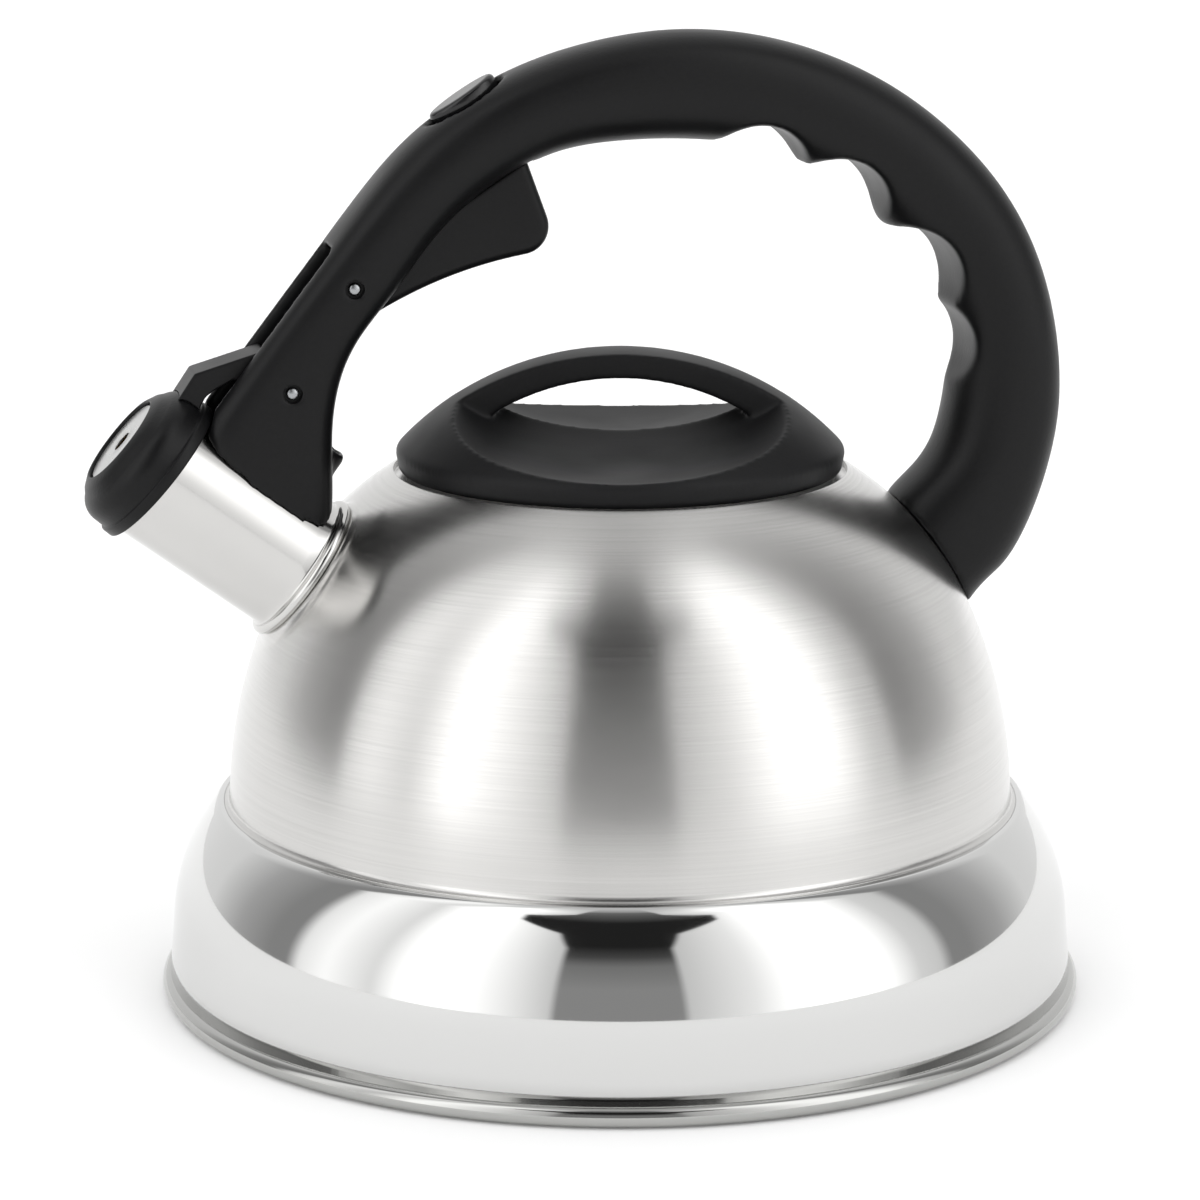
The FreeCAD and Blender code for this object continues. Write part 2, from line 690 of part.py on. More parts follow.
def cap_clearance():
    """Room for the cap's lip as it swings up between and past the two cheeks."""
    swing = slab([(-104.4, 131.5), (-88.1, 150.5), (-88, 165), (-125, 165), (-125, 131.5)], 40)
    half_slot = size("slot_width") / 2
    tools = []
    for side in (-1, 1):
        start = Vector(ARM_PIN[0], side * half_slot, ARM_PIN[1])
        outward = Vector(0, side, 0)
        ring = Part.makeCylinder(34, 8, start, outward)
        tools.append(ring.cut(Part.makeCone(17.8, 22.6, 8, start, outward)).common(swing))
    rest = Part.makeCylinder(size("cap_lip_radius") + 0.5, 16, Vector(0, 0, -0.5))
    return tools + [on_axis(rest, *CAP, CAP_TURN)]


def lever_slot():
    """The slot that holds the trigger and the cap's arm, open front and back."""
    room = slab([
        (-103, 137), (-86, 137), (-74.5, 139.6), (-71.2, 143.8), (-70.6, 148), (-68.5, 152.5),
        (-64, 157.6), (-56, 157.2), (-48, 160.5), (-30, 170), (-10, 176), (-12, 199),
        (-21.6, 198), (-25.4, 203.4), (-30.3, 208.2), (-62.5, 176.2), (-66, 178),
        (-70.5, 180), (-80, 186), (-108, 150),
    ], size("slot_width"))
    return room.fuse(crossbar(*ARM_PIN, HUB_POCKET, size("slot_width")))


def handle_shape():
    """The bow with its grooves, slot, pin holes, button well, screw holes and both feet."""
    bow = Part.makeLoft([bow_section(*station) for station in BOW], True, False)
    bow = bow.fuse(screw_boss())
    tools = [crossbar(x, z, radius, size("groove_width")) for x, z, radius in FINGER_GROOVES]
    tools.append(lever_slot())
    tools += cap_clearance()
    for x, z in (ARM_PIN, TRIGGER_PIN):
        tools.append(crossbar(x, z, size("pin_radius"), THROUGH))
        for side in (-1, 1):
            tools.append(crossbar(x, z, size("pin_recess"), 4, side * (size("pin_length") / 2 + 1.9)))
    well = size("button_long + button_gap"), size("button_short + button_gap")
    floor = -size("button_height - button_proud + button_travel")
    tools.append(oval(*well, floor, 12))
    tube = spout_rod(size("spout_radius"), 55)
    bead = spout_rod(size("bead_radius") + 0.5, 2.2)
    tools += [tube.fuse(bead), dome_outside.Shape]
    tools += [spout_block(ROOM), rear_tab(ROOM)]
    tools += [spout_stud(THREAD_HOLE, 10, 30), spout_stud(HEAD_HOLE, FRONT_SCREW_SEAT, 42)]
    tools += [rear_stud(THREAD_HOLE, -3, 20), rear_stud(HEAD_HOLE, REAR_SCREW_SEAT, 30)]
    for tool in tools:
        bow = bow.cut(tool)
    return max(bow.Solids, key=lambda solid: solid.Volume)


doc.recompute()
kept["handle"] = shaped("handle", handle_shape())

tube_body = spout_rod(size("spout_radius"), 55)
front_bracket = spout_block().cut(tube_body).cut(spout_stud(size("screw_radius"), 17, 30))
kept["front_bracket"] = shaped("front_bracket", front_bracket)
front_seat = Vector(SPOUT[0], 0, SPOUT[1]) + along(size("spout_rise"), FRONT_SCREW_AT, FRONT_SCREW_SEAT)
kept["front_screw"] = shaped("front_screw", screw(FRONT_SCREW_SEAT - 17))
kept["front_screw"].Placement = Placement(front_seat, Rotation(ACROSS, FRONT_SCREW_TURN))

rear_bracket = rear_tab().cut(dome_outside.Shape).cut(rear_stud(size("screw_radius"), -5, 5))
kept["rear_bracket"] = shaped("rear_bracket", rear_bracket)
rear_frame = Placement(Vector(REAR[0], 0, REAR[1]), Rotation(ACROSS, REAR_TURN))
rear_seat = Placement(Vector(REAR_SCREW_SEAT, 0, REAR_SCREW_HEIGHT), Rotation(ACROSS, 90))
kept["rear_screw"] = shaped("rear_screw", screw(REAR_SCREW_SEAT + 1))
kept["rear_screw"].Placement = rear_frame.multiply(rear_seat)

# ---------------------------------------------------------------- spout mechanism
# Squeezing the trigger turns its tail against the arm's finger, which lifts the cap.
PINS = Vector(TRIGGER_PIN[0] - ARM_PIN[0], 0, TRIGGER_PIN[1] - ARM_PIN[1])
TOWARDS_TRIGGER = PINS / PINS.Length
ASIDE = Vector(TOWARDS_TRIGGER.z, 0, -TOWARDS_TRIGGER.x)
ARM_CENTRE = Vector(ARM_PIN[0], 0, ARM_PIN[1])
FINGER_TIP = ARM_CENTRE + TOWARDS_TRIGGER * 6.2 + ASIDE * 1.3
TAIL_TIP = ARM_CENTRE + TOWARDS_TRIGGER * 6.9 - ASIDE * 1.7
LEVER_MIDDLE = 3.6
LEVER_THICKNESS = 5.0


def pin(x, z):
    """A rivet pin across the handle, its ends slightly domed."""
    bar = crossbar(x, z, size("pin_radius"), size("pin_length"))
    return bar.makeFillet(0.7, [edge for edge in bar.Edges if edge.Closed])


def taper(start, start_half, end, end_half, width, middle):
    """A flat lever from one round end to another."""
    run = end - start
    side = Vector(run.z, 0, -run.x) / run.Length
    corners = [start + side * start_half, end + side * end_half,
               end - side * end_half, start - side * start_half]
    lever = slab([(corner.x, corner.z) for corner in corners], width, middle)
    return lever.fuse(crossbar(end.x, end.z, end_half, width, middle))


def fin_shape(width):
    """The trigger's fin: a long hollow-curved lower edge, a round tab and softened rims."""
    start, tab, top, back = (Vector(*corner) for corner in (
        (-64.6, 0, 160), (-15.4, 0, 177.6), (-23, 0, 198.5), (-61, 0, 174)))
    lower = Part.Arc(start, Vector(-41.5, 0, 171.8), tab).toShape()
    sides = [Part.LineSegment(*ends).toShape() for ends in ((tab, top), (top, back), (back, start))]
    fin = Part.Face(Part.Wire([lower] + sides)).extrude(Vector(0, width, 0))
    fin.translate(Vector(0, -width / 2, 0))
    corner = [edge for edge in fin.Edges if (edge.CenterOfMass - Vector(tab.x, 0, tab.z)).Length < 0.5]
    fin = fin.makeFillet(6.5, corner)
    hidden = [(top + back) / 2, (back + start) / 2]
    rims = [edge for edge in fin.Edges if edge.BoundBox.YLength < 0.01 and all(
        math.hypot(edge.CenterOfMass.x - spot.x, edge.CenterOfMass.z - spot.z) > 1 for spot in hidden)]
    return fin.makeFillet(2.2, rims)


def trigger_shape():
    """Fin, hub and tail in one piece, bored for its pin."""
    width = size("lever_width")
    hub = crossbar(*TRIGGER_PIN, size("hub_radius"), width)
    centre = Vector(TRIGGER_PIN[0], 0, TRIGGER_PIN[1])
    tail = taper(centre, 3.4, TAIL_TIP, size("nose_radius"), LEVER_THICKNESS, LEVER_MIDDLE)
    bore = crossbar(*TRIGGER_PIN, size("pin_radius + pin_clearance"), THROUGH)
    return fin_shape(width).fuse([hub, tail]).cut(bore).removeSplitter()


def arm_shape():
    """Cranked arm from the pin to the cap, with its finger and a notch for the spring."""
    width = size("lever_width")
    crank = slab([
        (-78.9, 151.8), (-84.5, 156.4), (-100.5, 151.6), (-105.9, 143.6), (-107.5, 136.5),
        (-100.5, 137), (-99.3, 144), (-98, 146.2), (-95.6, 147.9), (-91.4, 150), (-83, 144.6),
    ], width)
    hub = crossbar(*ARM_PIN, size("hub_radius"), width)
    finger = taper(ARM_CENTRE, 3.0, FINGER_TIP, size("nose_radius"), LEVER_THICKNESS, LEVER_MIDDLE)
    bore = crossbar(*ARM_PIN, size("pin_radius + pin_clearance"), THROUGH)
    notch = crossbar(*ARM_PIN, 5.6, 4.4, -3.2)
    arm = crank.fuse([hub, finger]).cut(bore).cut(notch).cut(cap_block.Shape)
    return max(arm.removeSplitter().Solids, key=lambda solid: solid.Volume)


def coil(radius, wire, pitch, height):
    """A helical spring along +Z from the origin."""
    path = Part.makeHelix(pitch, height, radius)
    ring = Part.Wire(Part.makeCircle(wire, Vector(radius, 0, 0), ACROSS))
    return Part.Wire(path).makePipeShell([ring], True, True)


kept["trigger"] = shaped("trigger", trigger_shape())
kept["cap_arm"] = shaped("cap_arm", arm_shape())
kept["trigger_pin"] = shaped("trigger_pin", pin(*TRIGGER_PIN))
kept["arm_pin"] = shaped("arm_pin", pin(*ARM_PIN))

arm_coil = coil(2.9, 0.35, 0.9, 2.7)
arm_legs = [Part.makeCylinder(0.35, 4.5, Vector(2.9, 0, 0), Vector(0, 1, 0)),
            Part.makeCylinder(0.35, 4.5, Vector(2.9, 0, 2.7), Vector(0, -1, 0))]
arm_spring = arm_coil.fuse(arm_legs)
kept["arm_spring"] = shaped("arm_spring", arm_spring)
kept["arm_spring"].Placement = Placement(
    Vector(ARM_PIN[0], -1.9, ARM_PIN[1]), Rotation(Vector(1, 0, 0), 90))

# ---------------------------------------------------------------- thumb button
BUTTON_LOW = -size("button_height - button_proud")
SPRING_RECESS = 2.2
button = oval(size("button_long"), size("button_short"), BUTTON_LOW, size("button_proud"))
rings = [edge for edge in button.Edges if edge.Closed]
button = button.makeFillet(1.1, [max(rings, key=lambda edge: edge.CenterOfMass.z)])
recess = on_axis(Part.makeCylinder(3.1, SPRING_RECESS, Vector(0, 0, BUTTON_LOW)),
                 size("button_x"), size("button_z"), BUTTON_TURN)
kept["thumb_button"] = shaped("thumb_button", button.cut(recess))
spring_length = size("button_travel") + SPRING_RECESS
button_wire = 0.25
kept["button_spring"] = shaped(
    "button_spring", coil(2.5, button_wire, 0.9, spring_length - 2 * button_wire - 0.1))
button_foot = Vector(0, 0, BUTTON_LOW - size("button_travel") + button_wire + 0.05)
button_turn = Rotation(ACROSS, BUTTON_TURN)
kept["button_spring"].Placement = Placement(
    Vector(size("button_x"), 0, size("button_z")) + button_turn.multVec(button_foot), button_turn)

# ---------------------------------------------------------------- checks and files
doc.recompute()
for thing in doc.Objects:
    if {"Invalid", "Error"} & set(thing.State):
        raise RuntimeError(f"{thing.Name} is {thing.State}")
os.makedirs("parts", exist_ok=True)
for node, thing in kept.items():
    thing.Label = node
    if thing.Shape.isNull() or not thing.Shape.isValid():
        raise RuntimeError(f"{node} has no valid shape")
    thing.Shape.exportStep(f"parts/{node}.step")
    box = thing.Shape.BoundBox
    print(f"{node:20s} {thing.Shape.Volume:10.1f} mm3  x {box.XMin:7.1f} {box.XMax:7.1f}  "
          f"y {box.YMin:6.1f} {box.YMax:6.1f}  z {box.ZMin:6.1f} {box.ZMax:6.1f}  "
          f"solids {len(thing.Shape.Solids)}")
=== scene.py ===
# %% [markdown]
# # A stovetop whistling kettle
#
# The kettle's working shape comes from its CAD model: every part that moves, fastens or holds
# water is already there, in metres, at its true place. This lesson gives it its looks. Thin sheet
# metal gets soft edges and a finish with a grain, moulded nylon gets rounded corners and a fine
# texture, and a small studio is built round it.

# %% Load the frame
import math

import bmesh
import bpy
import numpy as np
from mathutils import Matrix, Vector


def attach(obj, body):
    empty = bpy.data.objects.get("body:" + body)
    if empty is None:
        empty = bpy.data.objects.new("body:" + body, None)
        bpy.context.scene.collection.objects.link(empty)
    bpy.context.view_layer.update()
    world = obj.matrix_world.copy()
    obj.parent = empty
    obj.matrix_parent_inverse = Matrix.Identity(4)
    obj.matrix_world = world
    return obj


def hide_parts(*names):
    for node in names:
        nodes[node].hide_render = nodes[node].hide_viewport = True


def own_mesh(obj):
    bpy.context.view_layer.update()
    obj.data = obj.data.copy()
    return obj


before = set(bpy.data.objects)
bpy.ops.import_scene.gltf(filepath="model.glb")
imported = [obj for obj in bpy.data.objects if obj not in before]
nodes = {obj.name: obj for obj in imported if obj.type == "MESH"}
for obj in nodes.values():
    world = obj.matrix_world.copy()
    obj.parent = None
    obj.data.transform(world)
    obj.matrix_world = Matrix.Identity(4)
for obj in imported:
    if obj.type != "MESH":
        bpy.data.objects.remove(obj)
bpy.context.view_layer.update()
MM = 0.001

# %% [markdown]
# ## Colours and nodes
#
# Sizes are written in millimetres, as a maker would read them, and turned to metres by one
# constant. Colours are written as the hex codes that a paint chart gives, which are sRGB, and
# one function turns them to the linear light that the renderer works in. Another small function
# adds any shader or geometry node, sets it and links it, so that a finish reads as a short recipe.

# %% Colour and node helpers


def colour(code):
    """Linear RGBA of an sRGB hex code."""
    parts = [int(code[i:i + 2], 16) / 255 for i in (1, 3, 5)]
    return [p / 12.92 if p <= 0.04045 else ((p + 0.055) / 1.055) ** 2.4 for p in parts] + [1.0]


def node(tree, kind, links=None, **settings):
    """Add a node, set what it is told, and link or fill its inputs by name or number."""
    made = tree.nodes.new(kind)
    for name, value in settings.items():
        setattr(made, name, value)
    for name, source in (links or {}).items():
        if isinstance(source, bpy.types.NodeSocket):
            tree.links.new(source, made.inputs[name])
        else:
            made.inputs[name].default_value = source
    return made


def material(name, **constants):
    """A new material with one Principled shader, whose constants sit on its own sockets."""
    made = bpy.data.materials.new(name)
    made.use_nodes = True
    tree = made.node_tree
    tree.nodes.clear()
    shader = node(tree, "ShaderNodeBsdfPrincipled", {
        socket.replace("_", " "): value for socket, value in constants.items()})
    node(tree, "ShaderNodeOutputMaterial", {"Surface": shader.outputs[0]})
    return made, tree, shader


def ramp(tree, factor, *stops):
    """A colour ramp of (position, grey) stops, for turning a pattern into a range of numbers."""
    made = node(tree, "ShaderNodeValToRGB", {"Fac": factor})
    elements = made.color_ramp.elements
    elements[0].position, elements[1].position = stops[0][0], stops[-1][0]
    ends = [elements[0], elements[1]]
    for element, (_, grey) in zip(ends, (stops[0], stops[-1])):
        element.color = (grey, grey, grey, 1)
    for position, grey in stops[1:-1]:
        elements.new(position).color = (grey, grey, grey, 1)
    return made.outputs["Color"]


print("moulded black is", [round(c, 4) for c in colour("#0d0d0e")[:3]], "in linear light")

# %% [markdown]
# ## Stainless steel, brushed round the dome
#
# An abrasive belt held against the spinning dome leaves thousands of fine scratches that all run
# round it. Each scratch mirrors only along its own length, so a lamp is drawn out into a soft
# streak that climbs the dome. The shader does that with anisotropy, and it needs to be told which
# way the scratches run: the radial tangent runs round the upright axis. The spout is only satin
# polished, so it shows no such streaks. The scratches themselves are 0.1 mm apart.
# That is too fine to show, so they are drawn about 0.35 mm apart. Rings drawn at even heights would
# spread out near the flat top, so the pattern is measured along the curve of the dome instead.

# %% Brushed steel


def round_the_axis(tree, place, centre, radius):
    """Swap a place's height for its way up a dome, so rings stay evenly apart to the very top."""
    parts = node(tree, "ShaderNodeSeparateXYZ", {0: place}).outputs
    flat = node(tree, "ShaderNodeVectorMath", {0: place, 1: (1, 1, 0)}, operation="MULTIPLY")
    out = node(tree, "ShaderNodeVectorMath", {0: flat.outputs[0]}, operation="LENGTH")
    up = node(tree, "ShaderNodeMath", {0: parts[2], 1: centre * MM}, operation="SUBTRACT")
    slope = node(tree, "ShaderNodeMath", {0: up.outputs[0], 1: out.outputs["Value"]},
                 operation="ARCTAN2")
    way = node(tree, "ShaderNodeMath", {0: slope.outputs[0], 1: radius * MM}, operation="MULTIPLY")
    return node(tree, "ShaderNodeCombineXYZ", {0: parts[0], 1: parts[1], 2: way.outputs[0]}).outputs[0]


CLOUDS, PLAIN_GRAIN = (40, 40, 60), (300, 300, 300)


def brushed_steel(name, code, scratches, rough_low, rough_high, clouds=CLOUDS, dome=None, mark=0.9,
                  **constants):
    """Steel with scratches and broad clouds, both given as cycles per metre along each axis.

    A dome is the height of its centre and its radius in mm. The mark is how dark a scratch is.
    """
    made, tree, shader = material(name, Metallic=1.0, **constants)
    place = node(tree, "ShaderNodeTexCoord").outputs["Object"]
    if dome:
        place = round_the_axis(tree, place, *dome)
    fine = node(tree, "ShaderNodeMapping", {"Vector": place, "Scale": scratches})
    scratch = node(tree, "ShaderNodeTexNoise", {
        "Vector": fine.outputs[0], "Scale": 1.0, "Detail": 3.0, "Roughness": 0.6}).outputs["Fac"]
    broad = node(tree, "ShaderNodeMapping", {"Vector": place, "Scale": clouds})
    cloud = node(tree, "ShaderNodeTexNoise", {
        "Vector": broad.outputs[0], "Scale": 1.0, "Detail": 2.0}).outputs["Fac"]
    mixed = node(tree, "ShaderNodeMath", {0: scratch, 1: cloud}, operation="MULTIPLY").outputs[0]
    roughness = node(tree, "ShaderNodeMapRange", {
        "Value": mixed, "From Min": 0.1, "From Max": 0.45, "To Min": rough_low, "To Max": rough_high})
    tree.links.new(roughness.outputs[0], shader.inputs["Roughness"])
    tint = node(tree, "ShaderNodeMix", {
        "Factor": scratch, 6: colour(code), 7: [c * mark for c in colour(code)[:3]] + [1.0]},
        data_type="RGBA")
    tree.links.new(tint.outputs[2], shader.inputs["Base Color"])
    bump = node(tree, "ShaderNodeBump", {"Height": scratch, "Strength": 0.06, "Distance": 0.02 * MM})
    tree.links.new(bump.outputs[0], shader.inputs["Normal"])
    return made, tree, shader


def follow(tree, shader, **direction):
    """Give a brushed finish the way its scratches run."""
    tangent = node(tree, "ShaderNodeTangent", **direction)
    tree.links.new(tangent.outputs[0], shader.inputs["Tangent"])


dome_steel, tree, shader = brushed_steel(
    "stainless_steel_brushed_round_the_dome", "#d4d3d1", (9, 9, 2900), 0.20, 0.27,
    clouds=(30, 30, 60), dome=(30, 100), mark=0.84, Anisotropic=0.78, Anisotropic_Rotation=0.25)
follow(tree, shader, direction_type="RADIAL", axis="Z")
spout_steel, _, _ = brushed_steel(
    "stainless_steel_satin_spout", "#cfcecc", (60, 60, 60), 0.09, 0.14, mark=0.95)
print("made", dome_steel.name, "and", spout_steel.name)

# %% [markdown]
# ## Stainless steel, polished to a mirror
#
# The base is buffed until no scratch is left. A mirror like that is told by what it reflects, and
# by what keeps it from being perfect: the metal was spun over a former, so its face has a very
# shallow swell every few centimetres, and handling leaves a trace of haze.

# %% Polished steel


def polished_steel(name, code, swell, haze):
    """Mirror steel with a shallow swell in mm and a haze between two roughnesses."""
    made, tree, shader = material(name, Metallic=1.0, Base_Color=colour(code))
    place = node(tree, "ShaderNodeTexCoord").outputs["Object"]
    smear = node(tree, "ShaderNodeTexNoise", {"Vector": place, "Scale": 45.0, "Detail": 5.0})
    roughness = node(tree, "ShaderNodeMapRange", {
        "Value": smear.outputs["Fac"], "From Min": 0.35, "From Max": 0.75,
        "To Min": haze[0], "To Max": haze[1]})
    tree.links.new(roughness.outputs[0], shader.inputs["Roughness"])
    spun = node(tree, "ShaderNodeTexNoise", {"Vector": place, "Scale": 28.0, "Detail": 1.0})
    bump = node(tree, "ShaderNodeBump", {
        "Height": spun.outputs["Fac"], "Strength": 1.0, "Distance": swell * MM})
    tree.links.new(bump.outputs[0], shader.inputs["Normal"])
    return made


base_steel = polished_steel("stainless_steel_mirror_polished", "#d3d3d2", 0.02, (0.035, 0.07))
# The rim's steel is rougher than the base's, since a rolled edge is less polished. Its colour is also
# darker: that darker colour is painted shade, standing in for the dark contact area under the kettle
# that the rim reflects.
rim_steel_with_painted_shade = polished_steel("stainless_steel_rolled_rim_with_painted_shade", "#b4b4b2", 0.02, (0.08, 0.14))
print("made", base_steel.name, "and", rim_steel_with_painted_shade.name)

# %% [markdown]
# ## Black nylon, moulded with a fine spark-eroded grain
#
# The handle, trigger, arm and cap are glass-filled nylon. The steel mould was eroded by sparks,
# which leaves pits about 0.3 mm wide, and the moulding copies them. The pits break up every
# highlight into grain. Touched places polish a little, so the roughness drifts over the surface.

# %% Moulded nylon


def moulded(name, code, rough_low, rough_high, grain, depth, **constants):
    """Moulded plastic whose grain has a width and a depth in millimetres."""
    made, tree, shader = material(name, **constants)
    place = node(tree, "ShaderNodeTexCoord").outputs["Object"]
    pits = node(tree, "ShaderNodeTexNoise", {
        "Vector": place, "Scale": 0.5 / (grain * MM), "Detail": 2.0, "Roughness": 0.55}).outputs["Fac"]
    drift = node(tree, "ShaderNodeTexNoise", {"Vector": place, "Scale": 40.0, "Detail": 3.0})
    roughness = node(tree, "ShaderNodeMapRange", {
        "Value": drift.outputs["Fac"], "From Min": 0.3, "From Max": 0.7,
        "To Min": rough_low, "To Max": rough_high})
    tree.links.new(roughness.outputs[0], shader.inputs["Roughness"])
    tint = node(tree, "ShaderNodeMix", {
        "Factor": pits, 6: [c * 0.75 for c in colour(code)[:3]] + [1.0],
        7: [c * 1.3 for c in colour(code)[:3]] + [1.0]}, data_type="RGBA")
    tree.links.new(tint.outputs[2], shader.inputs["Base Color"])
    bump = node(tree, "ShaderNodeBump", {"Height": pits, "Strength": 0.55, "Distance": depth * MM})
    tree.links.new(bump.outputs[0], shader.inputs["Normal"])
    return made


handle_nylon = moulded("nylon_black_spark_eroded", "#0d0d0e", 0.34, 0.44, 0.45, 0.05,
                       Specular_IOR_Level=0.21)
lid_nylon = moulded("nylon_charcoal_matt_lid", "#131314", 0.44, 0.54, 0.35, 0.02,
                    Specular_IOR_Level=0.19)
button_gloss = moulded("abs_black_polished_button", "#101011", 0.12, 0.18, 0.9, 0.004,
                       Specular_IOR_Level=0.5)
silicone = moulded("silicone_grey_moulded", "#7d7d7c", 0.50, 0.62, 0.4, 0.01)
print("made", [m.name for m in (handle_nylon, lid_nylon, button_gloss, silicone)])

# %% [markdown]
# ## The small metal parts
#
# Screws and rivet pins are steel with a thin bright zinc plate, the springs are drawn wire, the
# whistle's chamber is turned brass, and the disc that spreads the heat is pressed aluminium under
# a turned steel cap. They share the recipes above with other numbers.

# %% Small metal finishes
zinc = polished_steel("steel_bright_zinc_plated", "#a3a5a7", 0.01, (0.20, 0.30))
wire_steel = polished_steel("steel_spring_wire_drawn", "#9fa0a2", 0.005, (0.22, 0.32))
sheet_steel, _, _ = brushed_steel(
    "stainless_steel_plain_sheet", "#c4c3c1", PLAIN_GRAIN, 0.28, 0.38)
turned_steel, tree, shader = brushed_steel(
    "stainless_steel_turned_base", "#c6c5c3", PLAIN_GRAIN, 0.26, 0.36,
    Anisotropic=0.6)
follow(tree, shader, direction_type="RADIAL", axis="Z")
aluminium, _, _ = brushed_steel(
    "aluminium_pressed_disc", "#d9dadb", PLAIN_GRAIN, 0.34, 0.44)
brass, _, _ = brushed_steel(
    "brass_turned_whistle", "#cdaa63", PLAIN_GRAIN, 0.24, 0.34)
FINISHES = {
    "dome_shell": dome_steel, "spout_tube": spout_steel, "whistle_front_disc": spout_steel,
    "base_shell": base_steel, "bottom_pan": base_steel, "base_cap": turned_steel,
    "heat_disc": aluminium, "lid_pan": sheet_steel, "whistle_back_plate": sheet_steel,
    "front_bracket": sheet_steel, "rear_bracket": sheet_steel, "whistle_chamber": brass,
    "handle": handle_nylon, "trigger": handle_nylon, "cap_arm": handle_nylon,
    "cap_shell": handle_nylon, "lid_cover": lid_nylon, "thumb_button": button_gloss,
    "lid_gasket": silicone, "cap_gasket": silicone, "lid_screws": zinc, "front_screw": zinc,
    "rear_screw": zinc, "trigger_pin": zinc, "arm_pin": zinc, "arm_spring": wire_steel,
    "button_spring": wire_steel,
}
for name, finish in FINISHES.items():
    for place in nodes[name].material_slots:
        place.material = finish
print("finished", len(FINISHES), "of", len(nodes), "nodes")

# %% [markdown]
# ## Turned pieces, by Geometry Nodes
#
# The dome, base, rim, spout and cap are all bodies of revolution: sheet spun over a former, or
# plastic moulded round an axis. Each is an outline of radius and height swept once round. A
# screw modifier could do it, but a node tree keeps the rule in one place and also lays a UV map
# round the piece. The tree lays a flat grid with one row for each outline point,
# rolls it round the axis, and merges the seam and the poles. Edges get their small radius in the
# outline, because no pressed or moulded edge is sharp, and that radius is what catches the light.

# %% The turning tree


def start_tree(name, **inputs):
    """A new tree with named inputs and a finish, and the sockets that carry them."""
    tree = bpy.data.node_groups.new(name, "GeometryNodeTree")
    for label, kind in {**inputs, "Finish": "Material"}.items():
        tree.interface.new_socket(label, in_out="INPUT", socket_type="NodeSocket" + kind)
    tree.interface.new_socket("Piece", in_out="OUTPUT", socket_type="NodeSocketGeometry")
    return tree, node(tree, "NodeGroupInput").outputs


def end_tree(tree, shape, finish):
    """Make the shape real, smooth and finished, and hand it out of the tree."""
    real = node(tree, "GeometryNodeRealizeInstances", {"Geometry": shape})
    smooth = node(tree, "GeometryNodeSetShadeSmooth", {"Geometry": real.outputs[0]})
    done = node(tree, "GeometryNodeSetMaterial", {"Geometry": smooth.outputs[0], "Material": finish})
    node(tree, "NodeGroupOutput", {"Piece": done.outputs[0]})
    return tree


def turning_tree():
    """Sweep an outline of radius and height once round the upright axis."""
    tree, given = start_tree("turned_piece", Outline="Geometry", Facets="Int")
    rows = node(tree, "GeometryNodeAttributeDomainSize", {"Geometry": given["Outline"]})
    rows = rows.outputs["Point Count"]
    columns = node(tree, "ShaderNodeMath", {0: given["Facets"], 1: 1}, operation="ADD")
    grid = node(tree, "GeometryNodeMeshGrid", {"Vertices X": columns.outputs[0], "Vertices Y": rows})
    index = node(tree, "GeometryNodeInputIndex").outputs[0]
    column = node(tree, "FunctionNodeIntegerMath", {0: index, 1: rows}, operation="DIVIDE_FLOOR")
    row = node(tree, "FunctionNodeIntegerMath", {0: index, 1: rows}, operation="MODULO")
    corner = node(tree, "GeometryNodeSampleIndex", {
        "Geometry": given["Outline"], "Value": node(tree, "GeometryNodeInputPosition").outputs[0],
        "Index": row.outputs[0]}, data_type="FLOAT_VECTOR")
    share = node(tree, "ShaderNodeMath", {0: column.outputs[0], 1: given["Facets"]}, operation="DIVIDE")
    angle = node(tree, "ShaderNodeMath", {0: share.outputs[0], 1: 2 * math.pi}, operation="MULTIPLY")
    swung = node(tree, "ShaderNodeVectorRotate", {
        "Vector": corner.outputs["Value"], "Angle": angle.outputs[0]}, rotation_type="Z_AXIS")
    rolled = node(tree, "GeometryNodeSetPosition", {
        "Geometry": grid.outputs["Mesh"], "Position": swung.outputs[0]})
    mapped = node(tree, "GeometryNodeStoreNamedAttribute", {
        "Geometry": rolled.outputs[0], "Name": "UVMap", "Value": grid.outputs["UV Map"]},
        data_type="FLOAT2", domain="CORNER")
    merged = node(tree, "GeometryNodeMergeByDistance", {
        "Geometry": mapped.outputs[0], "Distance": 0.001 * MM})
    return end_tree(tree, merged.outputs[0], given["Finish"])


def baked(name, mesh, tree, place=None, **inputs):
    """Run a tree on a mesh and keep the result as a plain mesh, put in place in the kettle."""
    piece = bpy.data.objects.new(name, mesh)
    bpy.context.scene.collection.objects.link(piece)
    shaper = piece.modifiers.new("shape", "NODES")
    shaper.node_group = tree
    for item in tree.interface.items_tree:
        if item.name in inputs:
            shaper[item.identifier] = inputs[item.name]
    ready = piece.evaluated_get(bpy.context.evaluated_depsgraph_get())
    made = bpy.data.meshes.new_from_object(ready)
    piece.modifiers.remove(shaper)
    piece.data = made
    bpy.data.meshes.remove(mesh)
    shell = bmesh.new()
    shell.from_mesh(made)
    bmesh.ops.recalc_face_normals(shell, faces=shell.faces)
    shell.to_mesh(made)
    shell.free()
    made.name = name
    if place:
        made.transform(place)
    return piece


def wears(piece, body, slot, *stands_for):
    """Hang a finished piece on its body and hide the CAD nodes it stands for."""
    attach(piece, body)
    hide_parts(*stands_for)
    print(piece.name, len(piece.data.polygons), "faces, rides on", body)


TURN = turning_tree()
print("turning tree:", len(TURN.nodes), "nodes")

# %% Outlines with rounded corners


def arc(centre, radius, start, end, step=3.0):
    """Points on an arc of an outline, from one angle to another in degrees."""
    count = max(2, round(abs(end - start) / step))
    angles = [math.radians(start + (end - start) * i / count) for i in range(count + 1)]
    return [(centre[0] + radius * math.cos(a), centre[1] + radius * math.sin(a)) for a in angles]


